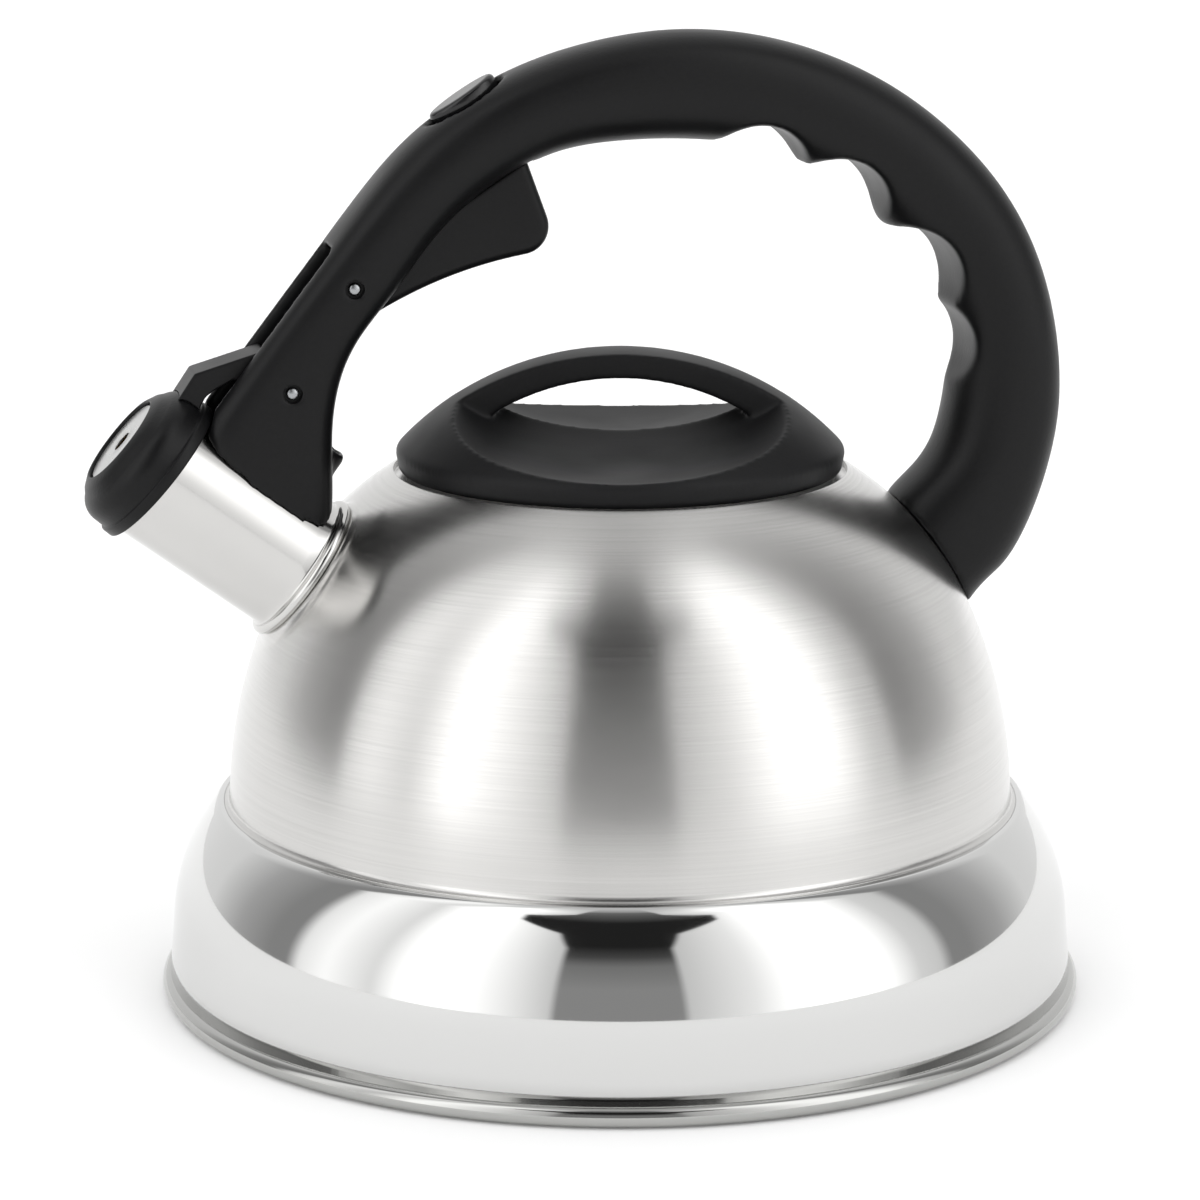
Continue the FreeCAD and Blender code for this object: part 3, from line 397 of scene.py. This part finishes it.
def rounded(corners, closed=True):
    """An outline whose (radius, height, fillet) corners are rounded, repeated at its end if closed."""
    points = []
    for number, corner in enumerate(corners):
        here = Vector(corner[:2])
        if len(corner) < 3:
            points.append(here)
            continue
        back = Vector(corners[number - 1][:2]) - here
        ahead = Vector(corners[(number + 1) % len(corners)][:2]) - here
        half = back.angle(ahead) / 2
        reach = min(corner[2] / math.tan(half), 0.48 * back.length, 0.48 * ahead.length)
        first, last = here + back.normalized() * reach, here + ahead.normalized() * reach
        middle = here + (back.normalized() + ahead.normalized()).normalized() * (
            reach / math.cos(half) - reach * math.tan(half))
        points += [first, first.lerp(middle, 0.5).lerp(here, 0.14), middle,
                   last.lerp(middle, 0.5).lerp(here, 0.14), last]
    return points + points[:1] if closed else points


def outline(points):
    """A mesh of loose points and edges, upright in the XZ plane, from millimetres."""
    mesh = bpy.data.meshes.new("outline")
    mesh.from_pydata([(p[0] * MM, 0, p[1] * MM) for p in points],
                     [(i, i + 1) for i in range(len(points) - 1)], [])
    return mesh


print("a quarter arc of radius 5 has", len(arc((0, 0), 5, 0, 90)), "points")

# %% [markdown]
# ## The dome
#
# One sheet, 0.8 mm thick, drawn to two tangent arcs and brushed. A tiny cove meets the base's
# ledge, and the top steps down to a seat round the lid. At the spout the sheet is pushed outwards
# into a short neck: the faces there are divided finely, and every point near the spout's axis is
# lifted along it by a quarter-round rule, so that the dome flows into the neck.

# %% Dome
SHEET = 0.8
DOME_R = 93.25
LOW_CENTRE, LOW_ARC = (-20.85, 44.7), 114.1
HIGH_CENTRE, HIGH_ARC = (16.482, 62.97), 72.53
JOIN = 26.09
LEDGE_Z, COVE = 46.2, 1.4
STEP_R, STEP_TOP, SEAT_Z, NECK_R, NECK_Z = 53.4, 125.38, 123.6, 45.2, 117.0


def dome_arcs(inset, step_r, foot_z):
    """Both arcs of the dome, a distance inside its outer face, from the foot up to a radius."""
    foot = math.degrees(math.asin((foot_z - LOW_CENTRE[1]) / (LOW_ARC - inset)))
    top = math.degrees(math.acos((step_r - HIGH_CENTRE[0]) / (HIGH_ARC - inset)))
    return arc(LOW_CENTRE, LOW_ARC - inset, foot, JOIN, 1.5) + arc(
        HIGH_CENTRE, HIGH_ARC - inset, JOIN, top, 1.5)[1:]


dome_outline = (
    arc((DOME_R + COVE, LEDGE_Z + COVE), COVE, 270, 180, 15)
    + dome_arcs(0, STEP_R + 0.8, LEDGE_Z + COVE)[1:]
    + rounded([(STEP_R + 0.5, 125.1), (STEP_R, STEP_TOP, 0.4), (STEP_R, SEAT_Z, 0.3),
               (NECK_R, SEAT_Z, 0.6), (NECK_R, NECK_Z), (NECK_R + SHEET, NECK_Z),
               (NECK_R + SHEET, SEAT_Z - SHEET), (STEP_R + SHEET, SEAT_Z - SHEET)], closed=False)
    + dome_arcs(SHEET, STEP_R + SHEET, LEDGE_Z)[::-1])
dome_outline = [Vector(p) for p in dome_outline] + [Vector(dome_outline[0])]
dome = baked("dome", outline(dome_outline), TURN, Facets=256, Finish=dome_steel)
print("dome outline:", len(dome_outline), "points")

# %% Formed neck at the spout
SPOUT_AT = Vector((-76.1, 0, 104.3)) * MM
SPOUT_RISE, SPOUT_R = math.radians(36.5), 16.3
SPOUT_AXIS = Vector((-math.cos(SPOUT_RISE), 0, math.sin(SPOUT_RISE)))
NECK_WALL, NECK_BLEND, NECK_END = 16.9 * MM, 3.4 * MM, -1.2 * MM
REACH_IN, FINE, FINER = -25 * MM, 26 * MM, 22 * MM


def from_spout(point):
    """Distance along the spout's axis from its root, and distance off it."""
    along = (point - SPOUT_AT).dot(SPOUT_AXIS)
    return along, (point - SPOUT_AT - SPOUT_AXIS * along).length


def near_spout(face, reach):
    """Whether a face's middle is within a reach of the spout's axis, on the spout's side."""
    along, off = from_spout(face.calc_center_median())
    return along > REACH_IN and off < reach


def form_neck(mesh):
    """Divide the dome's faces round the spout, open a hole there and push its edge outwards."""
    shell = bmesh.new()
    shell.from_mesh(mesh)
    for reach in (FINE, FINER):
        edges = {e for f in shell.faces if near_spout(f, reach) for e in f.edges}
        bmesh.ops.subdivide_edges(shell, edges=list(edges), cuts=1, use_grid_fill=True)
    gone = [f for f in shell.faces if near_spout(f, NECK_WALL - 0.5 * MM)]
    bmesh.ops.delete(shell, geom=gone, context="FACES")
    for vertex in shell.verts:
        along, off = from_spout(vertex.co)
        if along < REACH_IN or off > NECK_WALL + NECK_BLEND:
            continue
        nearness = min(1.0, (NECK_WALL + NECK_BLEND - off) / NECK_BLEND)
        lift = NECK_BLEND * (1 - math.sqrt(1 - nearness ** 2))
        raised = along + lift if nearness < 1 else max(along, NECK_END)
        vertex.co += SPOUT_AXIS * (min(raised, max(along, NECK_END)) - along)
    shell.to_mesh(mesh)
    shell.free()


form_neck(dome.data)
wears(dome, "kettle", "brushed_steel", "dome_shell")

# %% [markdown]
# ## The base and its rim
#
# The base is a second spun sheet with a round shoulder and a nearly straight skirt, polished to a
# mirror. Its reflections bend with every small change of its outline, so the shoulder is one true
# arc with a point every two degrees. The floor's edge is rolled round a wire, which makes the
# bright rim that stands proud of the skirt, with a dark crease between them.

# %% Base
LEDGE_R = 95.9
SHOULDER, SHOULDER_ARC = (61.45, 16.34), 45.6
SHOULDER_TOP = math.degrees(math.asin((LEDGE_Z - SHOULDER[1]) / SHOULDER_ARC))
SKIRT_LEAN = 4.6
FOOT_R, FOOT_Z = 108.15, 5.0
COLLAR_R, COLLAR_TOP = DOME_R - SHEET - 0.15, 49.5
base_outline = (
    rounded([(COLLAR_R - SHEET, LEDGE_Z - SHEET), (COLLAR_R - SHEET, COLLAR_TOP),
             (COLLAR_R, COLLAR_TOP), (COLLAR_R, LEDGE_Z, 0.3), (LEDGE_R - 0.3, LEDGE_Z)], closed=False)
    + arc(SHOULDER, SHOULDER_ARC, SHOULDER_TOP - 0.5, SKIRT_LEAN, 2)
    + rounded([(107.35, 14.6), (107.75, 9.8), (FOOT_R, FOOT_Z), (FOOT_R - SHEET, FOOT_Z),
               (106.1, 19.9)], closed=False)
    + arc(SHOULDER, SHOULDER_ARC - SHEET, SKIRT_LEAN, SHOULDER_TOP, 2)[1:])
base_outline = [Vector(p) for p in base_outline] + [Vector(base_outline[0])]
base = baked("base", outline(base_outline), TURN, Facets=320, Finish=base_steel)
wears(base, "kettle", "polished_steel", "base_shell")

# %% Floor pan and wired rim
RIM_R, WIRE, WIRE_Z = 107.6, 2.4, 2.6
PAN_LOW, PAN_HIGH = 4.0, 4.7
low_turn = 180 - math.degrees(math.asin((PAN_LOW - WIRE_Z) / WIRE))
high_turn = 180 - math.degrees(math.asin((PAN_HIGH - WIRE_Z) / WIRE))
pan_outline = [(0, PAN_LOW), (60, PAN_LOW)] + arc((RIM_R, WIRE_Z), WIRE, low_turn, high_turn + 360, 9)
pan_outline += [(60, PAN_HIGH), (0, PAN_HIGH)]
pan = baked("floor_pan_and_rim", outline(pan_outline), TURN, Facets=320, Finish=rim_steel_with_painted_shade)
wears(pan, "kettle", "polished_steel", "bottom_pan")

# %% [markdown]
# ## The spout
#
# A straight tube is swaged into the neck with a round bead that hides the joint. The tube leaves
# the dome at 36.5 degrees, and its mouth is trimmed square to the whistle cap, which leans a
# little more. The trim is a slide of the outer rings along the tube, so no cut edge is jagged.

# %% Spout tube
BEAD_R, BEAD_HALF = 17.0, 1.3
TUBE_END = 48.0
CAP_AT = Vector((-108.0, 0, 128.0)) * MM
CAP_RISE = math.radians(40.5)
CAP_AXIS = Vector((-math.cos(CAP_RISE), 0, math.sin(CAP_RISE)))
MOUTH_DEPTH = 3.0
tube_outline = (
    [(SPOUT_R - SHEET, -BEAD_HALF)] + arc((BEAD_R, 0), BEAD_HALF, -90, 90, 12)
    + arc((SPOUT_R + 0.7, BEAD_HALF + 0.7), 0.7, 270, 180, 22)
    + [(SPOUT_R, h) for h in (4, 8, 14, 20, 26, 32, 38)]
    + rounded([(SPOUT_R, 44), (SPOUT_R, TUBE_END, 0.3), (SPOUT_R - SHEET, TUBE_END, 0.3),
               (SPOUT_R - SHEET, 44)], closed=False)
    + [(SPOUT_R - SHEET, h) for h in (32, 20, 8)])
tube_outline = [Vector(p) for p in tube_outline] + [Vector(tube_outline[0])]


def stand(point, rise):
    """Place of something turned that stands at a point and rises towards the spout's side."""
    return Matrix.Translation(point) @ Matrix.Rotation(rise - math.pi / 2, 4, "Y")


tube = baked("spout", outline(tube_outline), TURN, stand(SPOUT_AT, SPOUT_RISE), Facets=144,
             Finish=spout_steel)
mouth = CAP_AT + CAP_AXIS * MOUTH_DEPTH * MM
SLIDE_FROM = 20 * MM
for vertex in tube.data.vertices:
    along, _ = from_spout(vertex.co)
    if along > SLIDE_FROM:
        meets_mouth = along + (mouth - vertex.co).dot(CAP_AXIS) / SPOUT_AXIS.dot(CAP_AXIS)
        stretch = (meets_mouth - SLIDE_FROM) / (TUBE_END * MM - SLIDE_FROM)
        vertex.co += SPOUT_AXIS * (along - SLIDE_FROM) * (stretch - 1)
wears(tube, "kettle", "brushed_steel", "spout_tube")

# %% [markdown]
# ## The whistle cap
#
# The cap is a moulded nylon bun: a lip that overhangs the spout, a shallow groove, and a soft
# round shoulder. A steel disc with a 5 mm hole sits in a recess in its face, and behind it a brass
# chamber and a second holed plate make the whistle. All turn about the cap's own axis.

# %% Cap and whistle
CAP_PLACE = stand(CAP_AT, CAP_RISE)
LIP_R, CAP_R, CAP_BORE, CAP_HEIGHT = 18.6, 17.9, 17.4, 12.8
DISC_R, DISC_SEAT, PLATE = 10.4, 11.2, 0.6
BACK_PLATE = 4.2
SHOULDER_R, SHOULDER_Z = 5.2, 5.6
cap_outline = rounded(
    [(CAP_BORE, BACK_PLATE), (CAP_BORE, 0.4), (CAP_BORE + 0.3, 0, 0.2), (LIP_R, 0, 0.9),
     (LIP_R, 2.6, 0.7), (CAP_R, 2.8, 0.35), (CAP_R, 4.2)], closed=False)
cap_outline += [Vector(p) for p in arc((CAP_R - SHOULDER_R, SHOULDER_Z), SHOULDER_R, 0, 62, 5)]
cap_outline += rounded(
    [(13.9, 11.3), (DISC_R + 0.5, CAP_HEIGHT, 0.7), (DISC_R + 0.5, DISC_SEAT, 0.15),
     (DISC_R - 0.8, DISC_SEAT), (DISC_R - 0.8, BACK_PLATE)], closed=False)
cap_outline.append(cap_outline[0])
cap = baked("whistle_cap", outline(cap_outline), TURN, CAP_PLACE, Facets=160, Finish=handle_nylon)
wears(cap, "spout_cap", "black_nylon", "cap_shell")


def holed_disc(name, hole, edge, low, high, rim, finish, slot, stands_for):
    """A disc with a round hole, both its rims softened."""
    corners = [(hole, low, rim), (edge, low, rim), (edge, high, rim), (hole, high, rim)]
    disc = baked(name, outline(rounded(corners)), TURN, CAP_PLACE, Facets=96, Finish=finish)
    wears(disc, "spout_cap", slot, stands_for)


disc_steel, _, _ = brushed_steel(
    "stainless_steel_brushed_straight", "#d2d2d1", (1600, 60, 60), 0.26, 0.32, mark=0.95)
holed_disc("whistle_face", 2.5, DISC_R, DISC_SEAT, DISC_SEAT + PLATE, 0.12, disc_steel,
           "brushed_steel", "whistle_front_disc")
holed_disc("whistle_plate", 2.5, 14.3, BACK_PLATE - PLATE, BACK_PLATE, 0.12, sheet_steel,
           "inner_steel", "whistle_back_plate")

# %% [markdown]
# ## Moulded pieces with soft edges
#
# The handle, trigger, arm, button and lid are cut crisply in CAD. A mould gives every one of
# their edges a radius, and the finger grooves flow into the grip. Bevelling a mesh with this many
# cuts breaks easily. Instead each piece's solid is rebuilt as an even skin of small faces, a
# voxel remesh, and the skin is relaxed: each point moves towards its neighbours' middle. About
# six rounds soften an edge as a mould would, and more rounds near the grooves make them flow. The
# wells round the pins and under the button have crisp rims, so they are cut again afterwards.

# %% Skin and relax


def skin(source, voxel):
    """An even closed skin round a CAD node's solid, as a new mesh."""
    shell = bmesh.new()
    shell.from_mesh(nodes[source].data)
    bmesh.ops.remove_doubles(shell, verts=shell.verts, dist=0.002 * MM)
    mesh = bpy.data.meshes.new(source + "_skin")
    shell.to_mesh(mesh)
    shell.free()
    piece = bpy.data.objects.new(source + "_skin", mesh)
    bpy.context.scene.collection.objects.link(piece)
    even = piece.modifiers.new("even", "REMESH")
    even.mode, even.voxel_size, even.use_smooth_shade = "VOXEL", voxel * MM, True
    made = bpy.data.meshes.new_from_object(piece.evaluated_get(bpy.context.evaluated_depsgraph_get()))
    bpy.data.objects.remove(piece)
    return made


def relax(mesh, rounds, weight=None):
    """Move points towards their neighbours' middle, each by its weight from 0 to 1."""
    points = np.empty(len(mesh.vertices) * 3)
    mesh.vertices.foreach_get("co", points)
    points = points.reshape(-1, 3)
    ends = np.empty(len(mesh.edges) * 2, dtype=np.int32)
    mesh.edges.foreach_get("vertices", ends)
    a, b = ends[::2], ends[1::2]
    count = np.bincount(a, minlength=len(points)) + np.bincount(b, minlength=len(points))
    share = 0.5 if weight is None else 0.5 * weight(points / MM)[:, None]
    for _ in range(rounds):
        middle = np.stack([
            np.bincount(a, points[b, axis], len(points)) + np.bincount(b, points[a, axis], len(points))
            for axis in range(3)], axis=1) / count[:, None]
        points += (middle - points) * share
    mesh.vertices.foreach_set("co", points.ravel())
    mesh.update()


def moulded_piece(name, source, voxel, rounds, finish, body, slot, more=0, weight=None):
    """A node's solid skinned with faces of a size in mm, relaxed, and relaxed more by a weight."""
    mesh = skin(source, voxel)
    relax(mesh, rounds)
    relax(mesh, more, weight)
    mesh.materials.clear()
    mesh.materials.append(finish)
    mesh.polygons.foreach_set("use_smooth", [True] * len(mesh.polygons))
    piece = bpy.data.objects.new(name, mesh)
    bpy.context.scene.collection.objects.link(piece)
    wears(piece, body, slot, source)
    return piece


# %% Wells for the pins and the button
PINS = [(-64.3, 170.7), (-78.9, 147.2)]
WELL_R, WELL_FLOOR, WELL_DEPTH = 2.15, 11.2, 6
BUTTON_PLACE = (Matrix.Translation(Vector((-37.0, 0, 212.2)) * MM)
                @ Matrix.Rotation(math.radians(-33.4), 4, "Y"))
BUTTON_WELL, BUTTON_FLOOR, BUTTON_CLEAR = (10.3, 6.8), -4.6, 6.0


def round_cutter(shell, place, across, along, depth):
    """Add an oval rod to a cutter: its half sizes, its depth, and the place of its middle."""
    stretch = Matrix.Diagonal((across, along, depth, 1))
    bmesh.ops.create_cone(shell, cap_ends=True, segments=72, radius1=MM, radius2=MM, depth=MM,
                          matrix=place @ stretch)


def cut_wells(piece):
    """Cut a round well round each pin's ends and the oval well under the thumb button."""
    shell = bmesh.new()
    for x, z in PINS:
        for side in (-1, 1):
            middle = Vector((x, side * (WELL_FLOOR + WELL_DEPTH / 2), z)) * MM
            place = Matrix.Translation(middle) @ Matrix.Rotation(math.pi / 2, 4, "X")
            round_cutter(shell, place, WELL_R, WELL_R, WELL_DEPTH)
    middle = Vector((0, 0, (BUTTON_FLOOR + BUTTON_CLEAR) / 2)) * MM
    place = BUTTON_PLACE @ Matrix.Translation(middle)
    round_cutter(shell, place, *BUTTON_WELL, BUTTON_CLEAR - BUTTON_FLOOR)
    mesh = bpy.data.meshes.new("wells")
    shell.to_mesh(mesh)
    shell.free()
    wells = bpy.data.objects.new("wells", mesh)
    bpy.context.scene.collection.objects.link(wells)
    cut = piece.modifiers.new("wells", "BOOLEAN")
    cut.object, cut.operation, cut.solver = wells, "DIFFERENCE", "EXACT"
    made = bpy.data.meshes.new_from_object(piece.evaluated_get(bpy.context.evaluated_depsgraph_get()))
    piece.modifiers.remove(cut)
    piece.data = made
    bpy.data.objects.remove(wells)
    print("wells cut,", len(made.polygons), "faces")


# %% Handle, levers, button and lid
# Finger grooves under the bow: where each rounded cut is centred (x, z), and its radius.
GROOVES = [(31.3, 193.6, 12.0), (50.3, 185.4, 12.0), (67.2, 167.8, 13.0), (71.8, 151.8, 12.1)]
FULL_TO, FADE = 1.5, 4.5


def near_grooves(points):
    """1 on the finger grooves, falling to 0 a few millimetres beyond their rims."""
    gap = np.full(len(points), 100.0)
    for x, z, radius in GROOVES:
        gap = np.minimum(gap, np.hypot(points[:, 0] - x, points[:, 2] - z) - radius)
    return np.clip(1 - (gap - FULL_TO) / FADE, 0, 1)


grip = moulded_piece("grip", "handle", 0.72, 6, handle_nylon, "kettle", "black_nylon",
                     more=9, weight=near_grooves)
cut_wells(grip)
moulded_piece("trigger_lever", "trigger", 0.4, 6, handle_nylon, "trigger", "black_nylon")
moulded_piece("cap_lever", "cap_arm", 0.3, 4, handle_nylon, "spout_cap", "black_nylon")
moulded_piece("lid", "lid_cover", 0.55, 6, lid_nylon, "lid", "lid_nylon")
moulded_piece("thumb_pad", "thumb_button", 0.28, 5, button_gloss, "button", "gloss_button")

# %% [markdown]
# ## The two rivet pins
#
# The trigger and the cap's arm turn on two equal steel pins across the front leg, headed over
# into low domes. One pin is drawn by a rule: a line whose points crowd towards its ends, with a
# radius that falls off over the last 0.7 mm like a quarter circle. The tree stands one on
# each of two points, so moving a point moves a pin.

# %% Rivet pins


def rivet_tree():
    """Stand a pin, domed at both ends, across the handle on each point."""
    tree, given = start_tree(
        "rivet_pins", Points="Geometry", Radius="Float", Length="Float", Dome="Float")

    def sums(operation, first, second=0.0, third=0.0):
        return node(tree, "ShaderNodeMath", {0: first, 1: second, 2: third},
                    operation=operation).outputs[0]

    half = sums("MULTIPLY", given["Length"], 0.5)
    line = node(tree, "GeometryNodeCurvePrimitiveLine", {"Start": (0, -1, 0), "End": (0, 1, 0)})
    fine = node(tree, "GeometryNodeResampleCurve", {"Curve": line.outputs[0], "Count": 61})
    spot = node(tree, "GeometryNodeInputPosition").outputs[0]
    along = node(tree, "ShaderNodeSeparateXYZ", {0: spot}).outputs[1]
    crowded = sums("SINE", sums("MULTIPLY", along, math.pi / 2))
    moved = node(tree, "ShaderNodeCombineXYZ", {1: sums("MULTIPLY", crowded, half)})
    rod = node(tree, "GeometryNodeSetPosition", {
        "Geometry": fine.outputs[0], "Position": moved.outputs[0]})
    shaft = sums("SUBTRACT", half, given["Dome"])
    past = sums("MAXIMUM", sums("SUBTRACT", sums("ABSOLUTE", along), shaft), 0.0)
    fall = sums("POWER", sums("DIVIDE", past, given["Dome"]), 2.0)
    narrow = sums("SQRT", sums("MAXIMUM", sums("SUBTRACT", 1.0, fall), 0.0001))
    ring = node(tree, "GeometryNodeCurvePrimitiveCircle", {"Resolution": 40, "Radius": 1.0})
    solid = node(tree, "GeometryNodeCurveToMesh", {
        "Curve": rod.outputs[0], "Profile Curve": ring.outputs[0], "Fill Caps": True,
        "Scale": sums("MULTIPLY", narrow, given["Radius"])})
    stood = node(tree, "GeometryNodeInstanceOnPoints", {
        "Points": given["Points"], "Instance": solid.outputs[0]})
    return end_tree(tree, stood.outputs[0], given["Finish"])


PIN_R, PIN_LENGTH, PIN_DOME = 1.5, 24.6, 0.7
pin_points = bpy.data.meshes.new("pin_points")
pin_points.from_pydata([(x * MM, 0, z * MM) for x, z in PINS], [], [])
rivets = baked("rivet_pins", pin_points, rivet_tree(), Radius=PIN_R * MM, Length=PIN_LENGTH * MM,
               Dome=PIN_DOME * MM, Finish=zinc)
wears(rivets, "kettle", "bright_fasteners", "trigger_pin", "arm_pin")

# %% [markdown]
# ## The button's spring
#
# Under the thumb button a small coil of wire stands on the floor of the well. It is a helix swept
# with the wire's section, which is exactly what a spring is. The button goes down 2 mm, but the
# coil is drawn at its rest length and rides with the kettle, so it does not shorten with the button.

# %% Button spring


def spring_tree():
    """Sweep a wire's round section along a helix."""
    tree, given = start_tree("coil_spring", Turns="Float", Radius="Float", Height="Float", Wire="Float")
    coil = node(tree, "GeometryNodeCurveSpiral", {
        "Resolution": 32, "Rotations": given["Turns"], "Start Radius": given["Radius"],
        "End Radius": given["Radius"], "Height": given["Height"]})
    ring = node(tree, "GeometryNodeCurvePrimitiveCircle", {"Resolution": 12, "Radius": given["Wire"]})
    wire = node(tree, "GeometryNodeCurveToMesh", {
        "Curve": coil.outputs[0], "Profile Curve": ring.outputs[0], "Fill Caps": True})
    return end_tree(tree, wire.outputs[0], given["Finish"])


COIL_R, WIRE_R, COIL_PITCH = 2.5, 0.25, 0.9
WELL_BOTTOM, BUTTON_TRAVEL, SPRING_ROOM = -4.5, 2.0, 4.2
COIL_RISE = SPRING_ROOM - 2 * WIRE_R - 0.1
coil_foot = BUTTON_PLACE @ Matrix.Translation((0, 0, (WELL_BOTTOM + WIRE_R + 0.05) * MM))
spring = baked("button_coil", bpy.data.meshes.new("coil"), spring_tree(), coil_foot,
               Turns=COIL_RISE / COIL_PITCH, Radius=COIL_R * MM, Height=COIL_RISE * MM,
               Wire=WIRE_R * MM, Finish=wire_steel)
wears(spring, "kettle", "spring_steel", "button_spring")
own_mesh(spring)

# %% [markdown]
# ## Floor, light and camera
#
# Steel shows the room, so the room is most of the picture. Two wide soft walls of light stand left
# and right of the camera. The dim gap between them draws the band down the middle of the dome and
# the dark shape in the mirror of the base. Beyond each wall the room is dim, then pale again. The
# walls are far away and very even, so they are drawn in the world by direction. One wide lamp
# overhead adds the soft light on the floor.

# %% Floor
floor_paint, tree, shader = material("paper_white_floor", Base_Color=colour("#f6f6f6"), Roughness=0.9,
                                    Emission_Color=colour("#ffffff"), Emission_Strength=0.06)
fibre = node(tree, "ShaderNodeTexNoise", {
    "Vector": node(tree, "ShaderNodeTexCoord").outputs["Object"], "Scale": 900.0})
paper = node(tree, "ShaderNodeBump", {
    "Height": fibre.outputs["Fac"], "Strength": 0.1, "Distance": 0.05 * MM})
tree.links.new(paper.outputs[0], shader.inputs["Normal"])
FLOOR_HALF = 9.0
floor_mesh = bpy.data.meshes.new("floor")
floor_mesh.from_pydata(
    [(x * FLOOR_HALF, y * FLOOR_HALF, 0) for x, y in ((-1, -1), (1, -1), (1, 1), (-1, 1))],
    [], [(0, 1, 2, 3)])
floor_mesh.materials.append(floor_paint)
floor = bpy.data.objects.new("floor", floor_mesh)
bpy.context.scene.collection.objects.link(floor)
print("floor", 2 * FLOOR_HALF, "m wide")

# %% Camera
CAMERA_AT = Vector((-0.1972, -0.9048, 0.3005))
CAMERA_LOOKS = Vector((0.2029, 0.9545, -0.2188)).normalized()
camera_data = bpy.data.cameras.new("camera")
camera_data.sensor_width = 36.0
camera_data.lens = 119.9
camera_data.clip_start, camera_data.clip_end = 0.05, 50
camera = bpy.data.objects.new("camera", camera_data)
camera.location = CAMERA_AT
camera.rotation_euler = CAMERA_LOOKS.to_track_quat("-Z", "Y").to_euler()
bpy.context.scene.collection.objects.link(camera)
bpy.context.scene.camera = camera
CAMERA_AZIMUTH = math.atan2(CAMERA_AT.y, CAMERA_AT.x)
print("camera azimuth", round(math.degrees(CAMERA_AZIMUTH), 1), "degrees")

# %% Overhead lamp
LAMP_WIDTH, LAMP_RADIANCE = 12.0, 0.42
lamp_data = bpy.data.lights.new("overhead", "AREA")
lamp_data.shape, lamp_data.size = "SQUARE", LAMP_WIDTH
lamp_data.energy = LAMP_RADIANCE * math.pi * LAMP_WIDTH ** 2
lamp = bpy.data.objects.new("overhead", lamp_data)
lamp.location = (0, 1.5, 4.5)
lamp.visible_camera = lamp.visible_glossy = False
bpy.context.scene.collection.objects.link(lamp)
print("overhead lamp", LAMP_WIDTH, "m wide")

# %% Room
# Brightness of the room by azimuth in degrees, from the camera's side, spout side negative.
WALLS = [(-180, 1.00), (-128, 0.90), (-112, 0.50), (-98, 0.32), (-91, 0.32), (-87, 1.20), (-78, 1.50),
         (-64, 1.05), (-50, 2.15), (-34, 1.50), (-17, 0.85), (17, 0.80), (34, 1.20), (50, 2.00),
         (66, 2.00), (80, 0.95), (87, 0.85), (91, 0.32), (98, 0.32), (112, 0.50), (128, 0.90),
         (180, 1.00)]
# Brightness of the gap between the walls, and half its width in degrees, by the sine of the rise.
GAP = [(0, 0.34), (0.3, 0.34), (0.5, 0.24), (0.58, 0.08), (0.66, 0.02), (0.82, 0.02), (0.87, 0.16),
       (1.0, 0.22)]
GAP_WIDTH = [(0, 15.5), (0.64, 14.5), (0.74, 18), (0.80, 34), (0.83, 34), (0.86, 16), (1.0, 16)]
GAP_EDGE, GAP_WIDEST = 2.0, 90
BRIGHTEST = 2.4
world = bpy.data.worlds.new("room_with_two_walls_of_light")
bpy.context.scene.world = world
world.use_nodes = True
tree = world.node_tree
tree.nodes.clear()
way = node(tree, "ShaderNodeTexCoord").outputs["Generated"]
turned = node(tree, "ShaderNodeVectorRotate", {"Vector": way, "Angle": -CAMERA_AZIMUTH},
              rotation_type="Z_AXIS")
parts = node(tree, "ShaderNodeSeparateXYZ", {0: turned.outputs[0]})
azimuth = node(tree, "ShaderNodeMath", {0: parts.outputs[1], 1: parts.outputs[0]},
               operation="ARCTAN2").outputs[0]
share = node(tree, "ShaderNodeMapRange", {"Value": azimuth, "From Min": -math.pi, "From Max": math.pi})
walls = ramp(tree, share.outputs[0],
             *[((turn + 180) / 360, bright / BRIGHTEST) for turn, bright in WALLS])
gap = ramp(tree, parts.outputs[2], *[(rise, bright / BRIGHTEST) for rise, bright in GAP])
aside = node(tree, "ShaderNodeMath", {0: azimuth}, operation="ABSOLUTE")
half = ramp(tree, parts.outputs[2], *[(rise, width / GAP_WIDEST) for rise, width in GAP_WIDTH])
edge = node(tree, "ShaderNodeMath", {0: half, 1: math.radians(GAP_WIDEST)}, operation="MULTIPLY")
past = node(tree, "ShaderNodeMath", {0: aside.outputs[0], 1: edge.outputs[0]}, operation="SUBTRACT")
beyond = node(tree, "ShaderNodeMapRange", {
    "Value": past.outputs[0], "From Min": 0.0, "From Max": math.radians(GAP_EDGE)})
room = node(tree, "ShaderNodeMix", {"Factor": beyond.outputs[0], 6: gap, 7: walls}, data_type="RGBA")
ceiling = node(tree, "ShaderNodeMapRange", {
    "Value": parts.outputs[2], "From Min": 0.92, "From Max": 0.99})
over = node(tree, "ShaderNodeMix", {
    "Factor": ceiling.outputs[0], 6: room.outputs[2], 7: (0.28, 0.28, 0.28, 1)}, data_type="RGBA")
seen = node(tree, "ShaderNodeLightPath").outputs["Is Camera Ray"]
shade = node(tree, "ShaderNodeMix", {"Factor": seen, 6: over.outputs[2], 7: (0.5, 0.5, 0.5, 1)},
             data_type="RGBA")
sky = node(tree, "ShaderNodeBackground", {"Color": shade.outputs[2], "Strength": BRIGHTEST})
node(tree, "ShaderNodeOutputWorld", {"Surface": sky.outputs[0]})
bpy.context.scene.view_settings.view_transform = "Standard"
print("room made")
